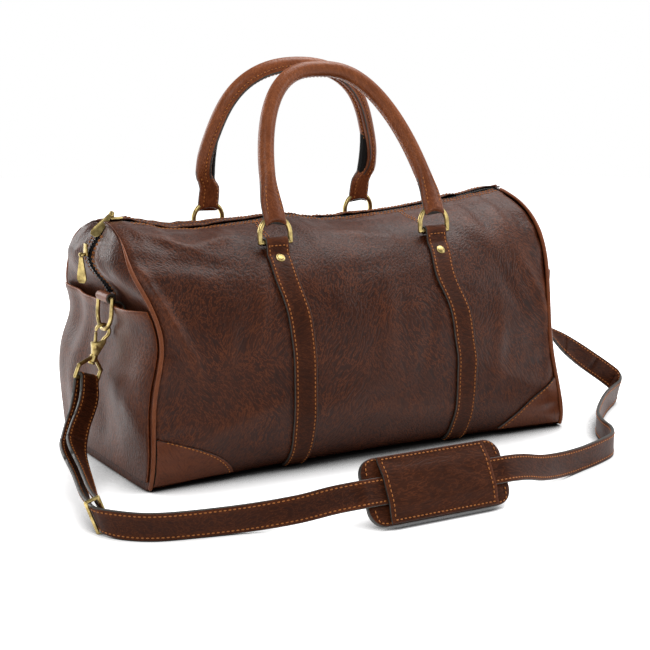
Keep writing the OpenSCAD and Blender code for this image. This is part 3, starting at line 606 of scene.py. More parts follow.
def ribbon(bm, frames, wide, thick):
    """A strap with painted edges and a row of stitches along both edges of both faces."""
    rubbed = (2, 3, 6, 7, 10, 11, 14, 15)
    tube(bm, ribbon_rings(frames, wide, thick), lambda i, j: 0.5 if j % 16 in rubbed else 0.1, ribbon_paint)
    for face in (1, -1):
        for side in (-1, 1):
            line = [p + w * side * 0.76 * wide / 2 + n * face * (thick / 2) for p, w, n in frames]
            sew(bm, line, [n * face for p, w, n in frames], 2)


def slab(bm, outline, grow):
    """A flat plate: an outline in millimetres, extruded along grow."""
    face = bm.faces.new([bm.verts.new(Vector(p) * MM) for p in outline])
    grown = bmesh.ops.extrude_face_region(bm, geom=[face])["geom"]
    bmesh.ops.translate(bm, vec=Vector(grow) * MM, verts=[v for v in grown if isinstance(v, bmesh.types.BMVert)])


def bevelled(bm, width, segments=2, sharp=0.6, keep=()):
    """Rounds the edges that turn by more than sharp, apart from those of the vertices to keep."""
    edges = [e for e in bm.edges if e.verts[0] not in keep and e.calc_face_angle(0) > sharp]
    bmesh.ops.bevel(bm, geom=edges, offset=width * MM, offset_type="OFFSET", affect="EDGES", segments=segments,
                    profile=0.5, material=-1)


def cylinder(bm, radius, depth, segments, place):
    """A capped cylinder along z, in millimetres, moved by place."""
    made = bmesh.ops.create_cone(bm, cap_ends=True, segments=segments, radius1=radius * MM, radius2=radius * MM,
                                 depth=depth * MM)["verts"]
    bmesh.ops.transform(bm, matrix=place, verts=made)


def shift(x, y, z):
    """The matrix that moves by x, y and z millimetres."""
    return Matrix.Translation(Vector((x, y, z)) * MM)


def box(bm, place):
    """A unit cube, each corner moved by place."""
    for v in bmesh.ops.create_cube(bm, size=1)["verts"]:
        v.co = place(v.co) * MM


# Materials


def add(tree, kind, inputs=None, **settings):
    """Adds a shader node, sets it and links or fills its inputs."""
    made = tree.nodes.new("ShaderNode" + kind)
    for key, value in settings.items():
        setattr(made, key, value)
    for key, value in (inputs or {}).items():
        if isinstance(value, bpy.types.NodeSocket):
            tree.links.new(value, made.inputs[key])
        else:
            made.inputs[key].default_value = value
    return made


def speckle(tree, spot, scale, detail, rough=0.5):
    """Noise with scale specks to the metre."""
    inputs = {"Vector": spot, "Scale": scale, "Detail": detail, "Roughness": rough}
    return add(tree, "TexNoise", inputs).outputs["Fac"]


def ramp(tree, value, low, high, first=0.0, last=1.0):
    """Takes low to first and high to last, and stays between them."""
    inputs = {"Value": value, "From Min": low, "From Max": high, "To Min": first, "To Max": last}
    return add(tree, "MapRange", inputs).outputs[0]


def maths(tree, operation, *values, clamp=False):
    """A sum on values or sockets."""
    return add(tree, "Math", dict(enumerate(values)), operation=operation, use_clamp=clamp).outputs[0]


def tones(tree, part, first, second):
    """A mix of two colours."""
    return add(tree, "Mix", {0: part, 6: first, 7: second}, data_type="RGBA").outputs[2]


def relief(tree, height, strength, distance):
    """A bump node."""
    return add(tree, "Bump", {"Height": height, "Strength": strength, "Distance": distance})


def new_tree(name):
    made = bpy.data.materials.new(name)
    made.use_nodes = True
    made.node_tree.nodes.clear()
    return made.node_tree


def new_material(name):
    """The tree of a new material, and its object coordinates."""
    tree = new_tree(name)
    return tree, add(tree, "TexCoord").outputs["Object"]


def surface(tree, **inputs):
    """Ends a material in one principled shader."""
    named = {key.replace("_", " "): value for key, value in inputs.items()}
    shader = add(tree, "BsdfPrincipled", named)
    add(tree, "OutputMaterial", {"Surface": shader.outputs[0]})


def colour(name):
    """A colour of the panel."""
    return list(getattr(bpy.context.scene.holdall_colours, name))


def leather(name, base, light, dark, rough=0.44, grain=1.0, pull=0.75, slants=(0.5, -0.6), shine=0.22):
    """Oiled pull-up leather, drum tumbled: dark and satin, with fine slanting creases whose crests are rubbed to the
    lighter dye. The low half of each crease darkens towards the dark colour, partly the grain's own tone and partly
    painted shade in the crease valleys. The creases are drawn 3 mm apart, coarser than the real 2 mm, so that they
    show."""
    tree, spot = new_material(name)
    blotch = speckle(tree, spot, 8.0, 2.0)
    cloud = speckle(tree, spot, 34.0, 4.0, 0.6)
    sway = add(tree, "TexNoise", {"Vector": spot, "Scale": 10.0, "Detail": 2.0}).outputs["Color"]
    bent = add(tree, "Mix", {0: 0.035, 4: spot, 5: sway}, data_type="VECTOR").outputs[1]

    def creases(slant):
        inputs = {"Vector": bent, "Rotation": (0, slant, 0), "Scale": (1, 1, 5)}
        return speckle(tree, add(tree, "Mapping", inputs, vector_type="TEXTURE").outputs[0], 460.0, 2.0)

    way = ramp(tree, blotch, 0.45, 0.55)
    fold = add(tree, "Mix", {0: way, 2: creases(slants[0]), 3: creases(slants[1])}).outputs[0]
    crest = ramp(tree, maths(tree, "ABSOLUTE", maths(tree, "SUBTRACT", fold, 0.52)), 0.0, 0.05, 1.0, 0.0)
    # Partly painted shade: the crease valleys, where the bump is lowest, darken towards the dark colour, on top of the
    # grain's own tone
    tone = tones(tree, ramp(tree, fold, 0.16, 0.5), colour(dark), colour(base))
    drawn = maths(tree, "MULTIPLY", crest, ramp(tree, cloud, 0.3, 0.68, 0.3 * pull, pull))
    wear = add(tree, "Attribute", attribute_name="wear").outputs["Fac"]
    warm = tones(tree, maths(tree, "MULTIPLY_ADD", wear, cloud, drawn, clamp=True), tone, colour(light))
    pebble = add(tree, "TexVoronoi", {"Vector": spot, "Scale": 700.0}, feature="DISTANCE_TO_EDGE").outputs["Distance"]
    crease = relief(tree, fold, 0.6 * grain, 0.0013)
    tree.links.new(relief(tree, pebble, 0.2 * grain, 0.0004).outputs[0], crease.inputs["Normal"])
    surface(tree, Base_Color=warm, Roughness=ramp(tree, cloud, 0.0, 1.0, rough - 0.1, rough + 0.1),
            Normal=crease.outputs[0], Specular_IOR_Level=shine)


def edge_paint(name):
    """Acrylic edge paint on cut leather: near black, half matt, with faint lines of the layers beneath."""
    tree, spot = new_material(name)
    layer = speckle(tree, spot, 420.0, 4.0)
    surface(tree, Base_Color=tones(tree, layer, colour("edge"), linear("#4A463F")), Roughness=0.5,
            Normal=relief(tree, layer, 0.25, 0.0004).outputs[0])


def thread(name):
    """Waxed linen thread: tan, dull, a little uneven in colour."""
    tree, spot = new_material(name)
    twist = speckle(tree, spot, 900.0, 2.0)
    surface(tree, Base_Color=tones(tree, twist, colour("thread"), linear("#A85F2A")), Roughness=0.6,
            Normal=relief(tree, twist, 0.4, 0.0003).outputs[0])


def antique_brass(name):
    """Antique brass: pale yellow where rubbed, browner where the patina stays, brushed soft."""
    tree, spot = new_material(name)
    patina = speckle(tree, spot, 130.0, 5.0, 0.6)
    tone = tones(tree, ramp(tree, patina, 0.42, 0.7), colour("brass"), linear("#6E5830"))
    surface(tree, Base_Color=tone, Roughness=ramp(tree, patina, 0.0, 1.0, 0.2, 0.42), Metallic=1.0,
            Normal=relief(tree, patina, 0.08, 0.0004).outputs[0])


def woven(name, tone, threads):
    """Woven cloth: fine crossing threads, so many to the metre, matt."""
    tree, spot = new_material(name)
    inputs = {"Vector": spot, "Scale": threads / 6.3, "Distortion": 0.6}
    warp, weft = (add(tree, "TexWave", inputs, bands_direction=way).outputs["Fac"] for way in "XZ")
    weave = relief(tree, maths(tree, "MULTIPLY", warp, weft), 0.4, 0.0003)
    surface(tree, Base_Color=tone, Roughness=0.8, Specular_IOR_Level=0.2, Normal=weave.outputs[0])


def zip_teeth(name):
    """Blackened metal teeth: dark, with lighter grey specks spread by noise, partly rubbed metal and partly painted
    dull highlights.
    """
    tree, spot = new_material(name)
    tone = tones(tree, speckle(tree, spot, 300.0, 3.0), colour("zip"), linear("#3A3838"))
    surface(tree, Base_Color=tone, Roughness=0.38, Metallic=0.8)


MATERIALS = {
    "chestnut_leather": lambda name: leather(name, "leather", "worn", "deep"),
    "belt_leather": lambda name: leather(name, "strap", "worn", "deep", 0.48, 0.7, 0.4, (1.4, -1.3), 0.12),
    "patch_leather": lambda name: leather(name, "trim", "worn", "strap", 0.42, 0.5, 0.5),
    "piping_leather": lambda name: leather(name, "handle", "tan", "trim", 0.4, 0.3, 0.3),
    "handle_leather": lambda name: leather(name, "handle", "tan", "trim", 0.36, 0.6, 0.6),
    "edge_paint": edge_paint,
    "linen_thread": thread,
    "antique_brass": antique_brass,
    "polyester_tape": lambda name: woven(name, colour("zip"), 900.0),
    "blackened_teeth": zip_teeth,
    "lining_cloth": lambda name: woven(name, linear("#1C1A19"), 1500.0),
    "pulp_board": lambda name: woven(name, linear("#6B5A48"), 600.0),
}


def material(name):
    """The named material, made on first use."""
    if name not in bpy.data.materials:
        MATERIALS[name](name)
    return bpy.data.materials[name]


# Pieces

STRAP = ["belt_leather", "edge_paint", "linen_thread"]


def make_panel(side):
    cols, rows = 168, 112

    def spot(i, j):
        u = 2 * i / cols - 1
        t = slot_t(u * half_len(), SLOT) * j / rows
        return u * (seam_x(t, u > 0, side) - 1.6), t

    def place(i, j):
        x, t = spot(i, j)
        edge = max(0, (abs(2 * i / cols - 1) - 0.965) / 0.035)
        return shell_point(x, t, side, -(1.6 if x > 0 else 3.4) * edge**2)

    def wear(i, j):
        x, t = spot(i, j)
        z = section(x, t)[1]
        pulled = 0.1 * max(0, sag_of(x, z, side)) + 0.12 * ease(226, 240, z)
        return 0.3 * ease(0.95, 0.985, abs(2 * i / cols - 1)) + pulled

    bm = new_mesh()
    lattice(bm, cols, rows, place, wear)
    name = ("front", "back")[side]
    piece(name + "_shell", bm, ["chestnut_leather"], "bag", [name + "_panel"], "shell_leather", INSIDE, 1.0)


def make_lining():
    cols, rows = 80, 48
    across = [(half_len() - 34) * (2 * i / cols - 1) for i in range(cols + 1)]
    bm = new_mesh()
    for side in (0, 1):
        lattice(bm, cols, rows, lambda i, j: shell_point(
            across[i], lerp(t_at(across[i], 9), slot_t(across[i], 12), j / rows), side, -5.6))
    lattice(bm, cols, 8, lambda i, j: (across[i], (base_y(across[i]) - 2) * (j / 4 - 1), 9))
    piece("body_lining_cloth", bm, ["lining_cloth"], "bag", ["body_lining"], "lining", INSIDE, 0.6)


def make_base():
    cols, rows = 60, 16

    def place(i, j):
        x = (2 * i / cols - 1) * (half_len() - 2)
        return x, (2 * j / rows - 1) * (base_y(x) + 2), 0.2 + 0.5 * bell(x, 180)

    bm = new_mesh()
    lattice(bm, cols, rows, place)
    piece("base_shell", bm, ["chestnut_leather"], "bag", ["base_panel"], "shell_leather", (0, 0, 60), 1.6)


def end_lift(s, z, right):
    """Creases of the end panel at s across and height z."""
    seed = 3.7 + 5 * right
    lift = 1.8 * noise.noise(Vector((s * 1.8, z / 40, seed)))
    lift += 1.0 * noise.noise(Vector((s * 4.5, z / 22, seed + 2)))
    crease = 3.0 * bell(s + 0.42 - (z - 205) / 160, 0.1) * bell(z - 210, 24)
    crease -= 1.6 * bell(z - 186 - 10 * s, 7) * bell(s, 0.7)
    crease += 2.4 * bell(s - 0.5 + (z - 205) / 150, 0.12) * bell(z - 208, 26)
    return max(-1.6, (lift + crease) * ease(6, 40, z) * (1 - s * s) ** 0.5)


def end_point(s, t, right, off):
    """A point off an end panel, at s across from the front seam (-1) to the rear seam (1)."""
    y, z = rim(t, right, s > 0)
    drawn = seam_x(t, right, s > 0) - half_len() + draw_in(z, *MIDDLE)
    flat = bulge(z) * lerp(s**4, s * s, bell(z - 144, 26))
    x = end_x(z) + drawn * s * s - flat + end_lift(s, z, right) + off
    return Vector((x if right else -x, s * abs(y), z))


def make_end(right):
    cols, rows = 108, 120
    top = slot_t(half_len(), 9)

    def place(i, j):
        s, t = 2 * i / cols - 1, top * j / rows
        y, z = rim(t, right, s > 0)
        groove = 2.4 * ease(6.6, 5.2, abs(s * y)) * ease(174, 180, z)
        return end_point(s, t, right, -groove)

    def wear(i, j):
        s, t = 2 * i / cols - 1, top * j / rows
        z = rim(t, right, s > 0)[1]
        return 0.25 * ease(0.92, 1, abs(s)) + 0.12 * max(0, end_lift(s, z, right))

    bm = new_mesh()
    lattice(bm, cols, rows, place, wear)
    name = ENDS[right] + "_end"
    piece(name + "_shell", bm, ["chestnut_leather"], "bag", [name + "_panel"], "shell_leather", INSIDE, 1.0)


def pocket_gap(s, z):
    """How far a pocket gapes from its end panel."""
    rise = 13 * max(0, (z - 10) / 160)
    return rise * (1 - abs(s / 0.985) ** 6) * (1 - 0.4 * bell(s + 0.1, 0.3)) * (1 - 0.65 * ease(0, 0.8, s))


def pocket_point(s, t, right, off):
    """A point off an end pocket."""
    z = rim(t, right, s > 0)[1]
    fold = 3.2 * noise.noise(Vector((s * 3.4 + z / 140, z / 110, 6.1 + right))) * ease(10, 60, z)
    return end_point(s, t, right, 0.4 + SIZE["shell_t"] + off + max(0, pocket_gap(s, z) + fold * (1 - s**4)))


def make_pocket(right):
    cols, rows = 72, 64
    t0 = t_at(half_len(), 10)
    across = [0.985 * (2 * i / cols - 1) for i in range(cols + 1)]
    mouth = [t_at(half_len(), 171 + 5 * s * s) for s in across]
    bm = new_mesh()
    lattice(bm, cols, rows,
            lambda i, j: pocket_point(across[i], lerp(t0, mouth[i], j / rows), right, 0.6 * (j > rows - 3)),
            lambda i, j: 0.25 + 0.75 * ease(rows - 4, rows, j))
    paints = ["chestnut_leather", "handle_leather"]
    name = ENDS[right]
    piece(name + "_pocket", bm, paints, "bag", [name + "_end_pocket"], "shell_leather", (0, 0, 80), 2.3, 1)


def make_patch(right, rear):
    cols, rows = 40, 36
    high, curve = (58, 1.15) if right else (52, 1.7)
    t0, t1 = t_at(half_len(), 6), t_at(half_len(), high)

    def point(k, v, off):
        t = lerp(t0, t1, v)
        z = section(half_len(), t)[1]
        reach = max(2, 88 * max(0, 1 - (z / high) ** curve))
        x = -(seam_x(t, right, rear) - 4.45) + reach * k
        x = -x if right else x
        return shell_point(x, t, int(rear), off)

    bm = new_mesh()
    lattice(bm, cols, rows, lambda i, j: point(i / cols, j / rows, 2.4),
            lambda i, j: 0.35 + 0.4 * ease(0.9, 1, i / cols))
    name = f"{FACES[rear]}_{ENDS[right]}_patch"
    paints = ["patch_leather", "edge_paint"]
    piece(name + "_leather", bm, paints, "bag", [name], "trim_leather", (0, 0, 110), 1.9, 1)
    bm = new_mesh()
    steps = 60
    line = [point(0.955 - 0.02 * (k / steps), 0.02 + 0.93 * k / steps, 2.5) for k in range(steps + 1)]
    sew(bm, line, [shell_normal(p.x, t_at(p.x, max(2, p.z)), int(rear)) for p in line])
    piece(name + "_stitches", bm, ["linen_thread"], "bag", (), "trim_leather")


def make_piping(right):
    steps = 90
    low, high = t_at(half_len(), 4), slot_t(half_len(), 14.8)
    levels = [lerp(low, high, k / steps) for k in range(steps + 1)]
    bm = new_mesh()
    for rear in (False, True):
        line = []
        for t in levels:
            x = seam_x(t, right, rear) - 1.25
            line.append(mirrored(skin(x if right else -x, t, 1.6), False, rear))
        rings = []
        for k, (t, p, d) in enumerate(zip(levels, line, tangents(line))):
            u = Vector((1, 0, 0)).cross(d).normalized()
            v = d.cross(u)
            thin = 1 - (0.3 if right else 0.9) * ease(1.5, 1.78, t)
            r = SIZE["piping_r"] * thin * (1 + 0.06 * noise.noise(Vector((k * 0.3, rear, 1))))
            rings.append([p + r * (u * c + v * s) for c, s in turns(14)])
        tube(bm, rings, lambda i, j: 0.3)
    name = ENDS[right] + "_piping"
    piece(name + "_leather", bm, ["piping_leather"], "bag", [name], "trim_leather")


def fold_frame():
    """Where a body strap folds round its ring: the bar's y and z, and the surface's directions there."""
    t = t_at(RING_X, SIZE["body_h"] - RING_DROP)
    ny, nz = outward(RING_X, t)
    bar = skin(RING_X, t, 2.5 + 0.4 + SIZE["strap_t"] + 0.6)
    return bar.y, bar.z, Vector((0, nz, -ny)), Vector((0, ny, nz))


def strap_middle(x, z):
    """Where the middle of a body strap runs at height z."""
    sway = 5 * ease(130, 90, z) - 10 * bell(z - 184, 24) if x > 0 else -4 * bell(z - 192, 22)
    return x + 8 * (1 - z / (SIZE["body_h"] - RING_DROP)) + sway


def make_body_strap(x, rear):
    bar_y, bar_z, ahead, up = fold_frame()
    thick = SIZE["strap_t"]
    t0, t1 = t_at(x, 4), t_at(x, SIZE["body_h"] - 40)
    frames = []
    for k in range(91):
        t = lerp(t0, t1, k / 90)
        xm = strap_middle(x, section(x, t)[1])
        left, right = (shell_point(xm + d, t, int(rear), 0.6 + thick / 2) for d in (-6, 6))
        frames.append(((left + right) / 2, (right - left).normalized(), shell_normal(xm, t, int(rear))))
    turn = []
    for a in range(125, -81, -12):
        c, s = heading(a)
        n = ahead * c + up * s
        p = Vector((x, bar_y, bar_z)) + (2.9 + thick / 2) * n
        turn.append((mirrored(p, False, rear), Vector((1, 0, 0)), mirrored(n, False, rear)))
    low, high = frames[-1], turn[0]
    frames += [tuple(a.lerp(b, k / 8) for a, b in zip(low, high)) for k in range(1, 8)] + turn
    bm = new_mesh()
    tube(bm, ribbon_rings(frames, SIZE["strap_w"], thick),
         lambda i, j: (0.5 if j % 16 in (2, 3, 6, 7) else 0.15) + 0.5 * ease(95, 99, i), ribbon_paint)
    sewn = frames[:96]
    for edge in (-1, 1):
        sew(bm, [p + w * edge * 9.6 + n * thick / 2 for p, w, n in sewn], [n for p, w, n in sewn], 2)
    p, w, n = sewn[-1]
    sew(bm, [p + w * k + n * thick / 2 for k in (-9, -4, 0, 4, 9)], [n] * 5, 2)
    name = f"{FACES[rear]}_{ENDS[x > 0]}_strap"
    piece(name + "_leather", bm, STRAP, "bag", [name], "strap_leather")


def make_rivets():
    profile = [(0, 1.1), (2.4, 1.05), (3.4, 0.9), (4.0, 0.6), (4.3, 0.65), (4.9, 0.5), (5.0, 0.2), (5.0, -0.6)]
    ring_z = SIZE["body_h"] - RING_DROP
    bm = new_mesh()
    for x, drop in ((-RING_X, 21), (RING_X, 29)):
        z = ring_z + drop * outward(RING_X, t_at(RING_X, ring_z))[0]
        t = t_at(x, z)
        for rear in (0, 1):
            p = shell_point(strap_middle(x, z), t, rear, 0.6 + SIZE["strap_t"])
            face = shell_normal(x, t, rear).to_track_quat("Z", "Y").to_matrix().to_4x4()
            verts = [bm.verts.new(Vector((r, 0, h)) * MM) for r, h in profile]
            edges = [bm.edges.new(pair) for pair in zip(verts, verts[1:])]
            bmesh.ops.spin(bm, geom=verts + edges, axis=(0, 0, 1), cent=(0, 0, 0), angle=math.tau, steps=24,
                           use_merge=True)
            bmesh.ops.remove_doubles(bm, verts=[v for v in bm.verts if not v.tag], dist=1e-6)
            made = [v for v in bm.verts if not v.tag]
            bmesh.ops.transform(bm, matrix=shift(*p) @ face, verts=made)
            for v in made:
                v.tag = True
    piece("rivet_caps", bm, ["antique_brass"], "bag", ["strap_rivets"], "brass")


# Rise, lean in degrees, spread, shift and flare of the legs, of the front and the rear handle
HANDLES = ((158, 25, -3, -6, 0), (151, 13, 13, -3, 7))


def handle_line(rear):
    """Middle line of a handle from ring to ring, with the height of each point above its ring along the lean."""
    rise, lean, spread, aside, flare = HANDLES[rear]
    bar_y, bar_z = fold_frame()[:2]
    c, s = heading(5)
    bow = Vector((0, bar_y + 25 * s, bar_z + 25 * c))
    c, s = heading(lean)
    a0 = math.asin((17 / rise) ** (1 / 0.95))
    foot = [-5.6, -5.3, -4.6, -3.4, -1.6, 1, 4, 7, 10, 13.5]
    pairs = [(-RING_X, h) for h in foot]
    for k in range(121):
        a = lerp(a0, math.pi - a0, k / 120)
        side = 1 if math.cos(a) >= 0 else -1
        x = aside * (math.sin(a) - math.sin(a0)) - RING_X * side * (abs(math.cos(a)) / math.cos(a0)) ** 0.8
        x -= spread * (math.sin(2 * a) - side * math.sin(2 * a0))
        h = rise * math.sin(a) ** 0.95
        x -= flare * side * ease(14, 36, h) * bell(max(0, h - 40), 34)
        pairs.append((x, h))
    pairs += [(RING_X, h) for h in foot[::-1]]
    return [(bow + Vector((x, h * s, h * c)), h) for x, h in pairs]


def make_handle(rear):
    line = handle_line(rear)
    c, s = heading(HANDLES[rear][1])
    up, normal = Vector((0, s, c)), Vector((0, c, -s))
    course = tangents([p for p, h in line])
    last = len(course) - 1
    for k in range(13):
        course[k], course[last - k] = up, -up
    smooth = [d if k < 8 or k > last - 8 else (course[k - 3] + d * 2 + course[k + 3]).normalized()
              for k, d in enumerate(course)]
    sides, lip_at = 40, math.radians(62)
    rings, bases = [], []
    for (p, h), d in zip(line, smooth):
        inner = normal.cross(d).normalized()
        flat = ease(46, 6, h)
        tip = ease(-2.4, -5.6, h)
        rx = lerp(SIZE["handle_r"], 12.2, flat) * (1 - 0.1 * tip)
        rn = lerp(SIZE["handle_r"], 5.6, flat) * math.sqrt(max(0.02, 1 - tip * tip))
        lip = 1.9 * ease(18, 40, h)
        ring = []
        for n, (c, s) in enumerate(turns(sides)):
            a = math.tau * n / sides - lip_at
            off = math.atan2(math.sin(a), math.cos(a))
            more = lip * bell(off, 0.2) - 0.5 * lip * bell(abs(off) - 0.5, 0.16)
            across, out = (rx + more) * c, (rn + more) * s
            drop = (17 - math.sqrt(max(0, 17 * 17 - min(12, abs(across)) ** 2))) * ease(12, 0, h)
            ring.append(mirrored(p + inner * across + normal * out - up * drop, False, rear))
        rings.append(ring)
        bases.append([mirrored(v, False, rear) for v in (p, inner, normal)] + [rx, rn, h])
    heights = [h for p, h in line]
    lip_step = round(sides * lip_at / math.tau)

    def wear(i, j):
        return 0.55 - 0.45 * ease(60, 24, heights[i])

    def paint(i, j):
        return int(j % sides == lip_step and heights[i] > 26 or heights[i] < 34 and j % 20 in (0, 19))

    bm = new_mesh()
    tube(bm, rings, wear, paint)
    roll = [b for b in bases if b[5] > 24]
    for a in (lip_at - 0.62, lip_at + 0.62):
        c, s = math.cos(a), math.sin(a)
        sew(bm, [p + u * rx * c + n * rn * s for p, u, n, rx, rn, h in roll],
            [u * c + n * s for p, u, n, rx, rn, h in roll], 2, -0.1)
    scoop = 17 - math.sqrt(17 * 17 - 60)
    for part in (bases[:26], bases[-26:]):
        tab = [b for b in part if -3 < b[5] < 34]
        for face in (-1, 1):
            for edge in (-1, 1):
                a = math.atan2(face * math.sin(1.0), edge * math.cos(1.0) * 1.25)
                c, s = math.cos(a), math.sin(a)
                sew(bm, [p + u * rx * c + n * rn * s - Vector((0, 0, scoop * ease(12, 0, h)))
                         for p, u, n, rx, rn, h in tab], [u * c * 0.4 + n * s for p, u, n, rx, rn, h in tab], 2)
    name = FACES[rear]
    nodes = [name + "_handle", name + "_left_tab", name + "_right_tab"]
    paints = ["handle_leather", "edge_paint", "linen_thread"]
    piece(name + "_handle_leather", bm, paints, name + "_handle", nodes, "strap_leather")


ZIP_TOP = 232  # how far the zip runs along the top, from the middle


def zip_line():
    """Middle line of the zip, from its foot on the right end over the top to its foot on the left end."""
    over = [(x, top_z(x) - 0.6 - dip(x)) for x in [ZIP_TOP * (1 - k / 80) for k in range(161)]]
    ends = []
    for side in (1, -1):
        top = top_z(side * half_len())
        levels = [lerp(top - 11, SIZE["body_h"] - 76, k / 40) for k in range(41)]
        ends.append([(side * (half_len() - 4), top - 2.5)] + [(side * (end_x(z) + 1.0), z) for z in levels])
    points = [Vector((x, 0, z)) for x, z in ends[0][::-1] + over + ends[1]]
    for _ in range(3):
        inner = [(a + b * 2 + c) / 4 for a, b, c in zip(points, points[1:], points[2:])]
        points = [points[0]] + inner + [points[-1]]
    return points


def zip_up(d):
    """The direction out of the zip where it runs along d."""
    return Vector((d.z, 0, -d.x))


def make_tapes():
    line = resample(zip_line(), 4)
    ups = [zip_up(d) for d in tangents(line)]
    for face, name in zip((-1, 1), FACES):
        bm = new_mesh()
        lattice(bm, len(line) - 1, 6, lambda i, j: line[i] + Vector((0, face * lerp(2.0, 8.4, j / 6), 0))
                - ups[i] * (0.2 + 2.8 * ease(1, 5, j)))
        piece(name + "_tape", bm, ["polyester_tape"], "bag", [name + "_zip_tape"], "zip_tape", INSIDE, 1.0)


def make_teeth():
    bm = new_mesh()
    across = Vector((0, 1, 0))
    teeth = resample(zip_line(), SIZE["tooth_pitch"])
    for k, (p, d) in enumerate(zip(teeth, tangents(teeth))):
        up = zip_up(d)
        middle = p + across * (1.15 if k % 2 else -1.15) + up * 0.25
        box(bm, lambda v: middle + d * (v.x * 1.15) + across * (v.y * 3.3) + up * (v.z * 1.7))
    piece("teeth_row", bm, ["blackened_teeth"], "bag", ["zip_teeth"], "zip_teeth")


def make_zip_stitches():
    bm = new_mesh()
    for side in (0, 1):
        xs = [lerp(-222, 222, k / 200) for k in range(201)]
        rows = [(0, [(x, slot_t(x, SLOT + down)) for x in xs]) for down in (2.6, 9.6)]
        # Two rows run from the zip to each body strap
        for route in (((-84, 1.943), (-92.4, 1.792), (-93.4, 1.69)), ((91, 1.936), (90.9, 1.832), (95, 1.753))):
            spots = [[lerp(a, b, k / 12) for a, b in zip(p, q)] for p, q in zip(route, route[1:]) for k in range(13)]
            rows += [(aside, spots) for aside in (-1.7, 1.7)]
        for aside, spots in rows:
            line = [shell_point(x + aside, t, side, 0.1) for x, t in spots]
            sew(bm, line, [shell_normal(x, t, side) for x, t in spots])
    for right in (0, 1):
        for y in (-12, -7.5, 7.5, 12):
            line = []
            for k in range(41):
                t = t_at(half_len(), lerp(178, 244, k / 40))
                reach = abs(rim(t, right, y > 0)[0])
                if reach > abs(y) + 3:
                    line.append(end_point(y / reach, t, right, 0.1))
            sew(bm, line, [Vector((1 if right else -1, 0, 0.15))] * len(line))
    piece("zip_stitches", bm, ["linen_thread"], "bag", (), "shell_leather")


SLIDER_PIN = (-4.8, 0, 6.0)


def make_slider(name, place):
    bm = new_mesh()
    half = [(-6, -4.5), (-2, -4.5), (6, -3.2)]
    slab(bm, [(x, y, 0) for x, y in half + [(x, -y) for x, y in half[::-1]]], (0, 0, 2.2))
    bevelled(bm, 0.5)
    for y in (-2.8, 2.8):
        box(bm, lambda v: Vector((v.x * 2.4 - 4.8, v.y * 1.1 + y, v.z * 5.0 + 4.6)))
    cylinder(bm, 1.2, 6.4, 20, shift(*SLIDER_PIN) @ Matrix.Rotation(math.pi / 2, 4, "X"))
    bmesh.ops.transform(bm, matrix=place, verts=bm.verts[:])
    piece(name + "_brass", bm, ["antique_brass"], name, [name], "zip_brass")


def make_pull(name, long, twist, place):
    bm = new_mesh()
    half = [(-long, -3.4), (-long + 3.4, -5.8), (-long + 9, -5.4), (-7, -3.0), (-2.2, -2.4)]
    slab(bm, [(x, y, -0.8) for x, y in half + [(x, -y) for x, y in half[::-1]]], (0, 0, 1.6))
    caps = [f for f in bm.faces if len(f.verts) == 2 * len(half)]
    bmesh.ops.inset_region(bm, faces=caps, thickness=0.8 * MM, depth=-0.25 * MM)
    bevelled(bm, 0.25)
    bmesh.ops.rotate(bm, cent=(0, 0, 0), matrix=Matrix.Rotation(math.radians(twist), 3, "X"), verts=bm.verts[:])
    loop = turns(28)
    tube(bm, [[Vector(((2.0 + 0.62 * c) * x, 1.9 * s, (2.0 + 0.62 * c) * z)) for c, s in turns(12)]
              for x, z in loop + loop[:1]])
    bmesh.ops.transform(bm, matrix=place, verts=bm.verts[:])
    piece(name + "_brass", bm, ["antique_brass"], name, [name], "zip_brass")


RING_BAR = (-253.45, -20, 177)  # middle of the left end ring's bar


def make_ring_tab(right):
    """Leather rolled round the end ring's bar and sewn in at the pocket mouth."""
    x, y, z = RING_BAR
    cols, roll, flap, radius = 20, 26, 12, 5.1

    def place(i, j):
        across = y + lerp(-14, 14, i / cols)
        if j <= roll:
            c, s = heading(-78 + 330 * j / roll)
            return Vector((x + radius * c, across, z + radius * s))
        k = (j - roll) / flap
        return Vector((x + lerp(-0.8, 13, ease(0, 0.7, k)), across, z - radius - lerp(0, 18, ease(0.35, 1, k) * k)))

    bm = new_mesh()
    lattice(bm, cols, roll + flap, lambda i, j: mirrored(place(i, j), right, False), lambda i, j: 0.4)
    name = ENDS[right] + "_ring_tab"
    paints = ["piping_leather", "edge_paint"]
    inside = mirrored(Vector(RING_BAR), right, False)
    piece(name + "_leather", bm, paints, "bag", [name], "trim_leather", inside, 2.3, 1)


def hook_matrix(right):
    """Place of a hook, whose own frame has the ring at its origin and the post below."""
    place = shift(-256.797, -20, 145.175) @ Matrix.Rotation(math.radians(22), 4, "Y")
    return Matrix.Diagonal((-1, 1, 1, 1)) @ place if right else place


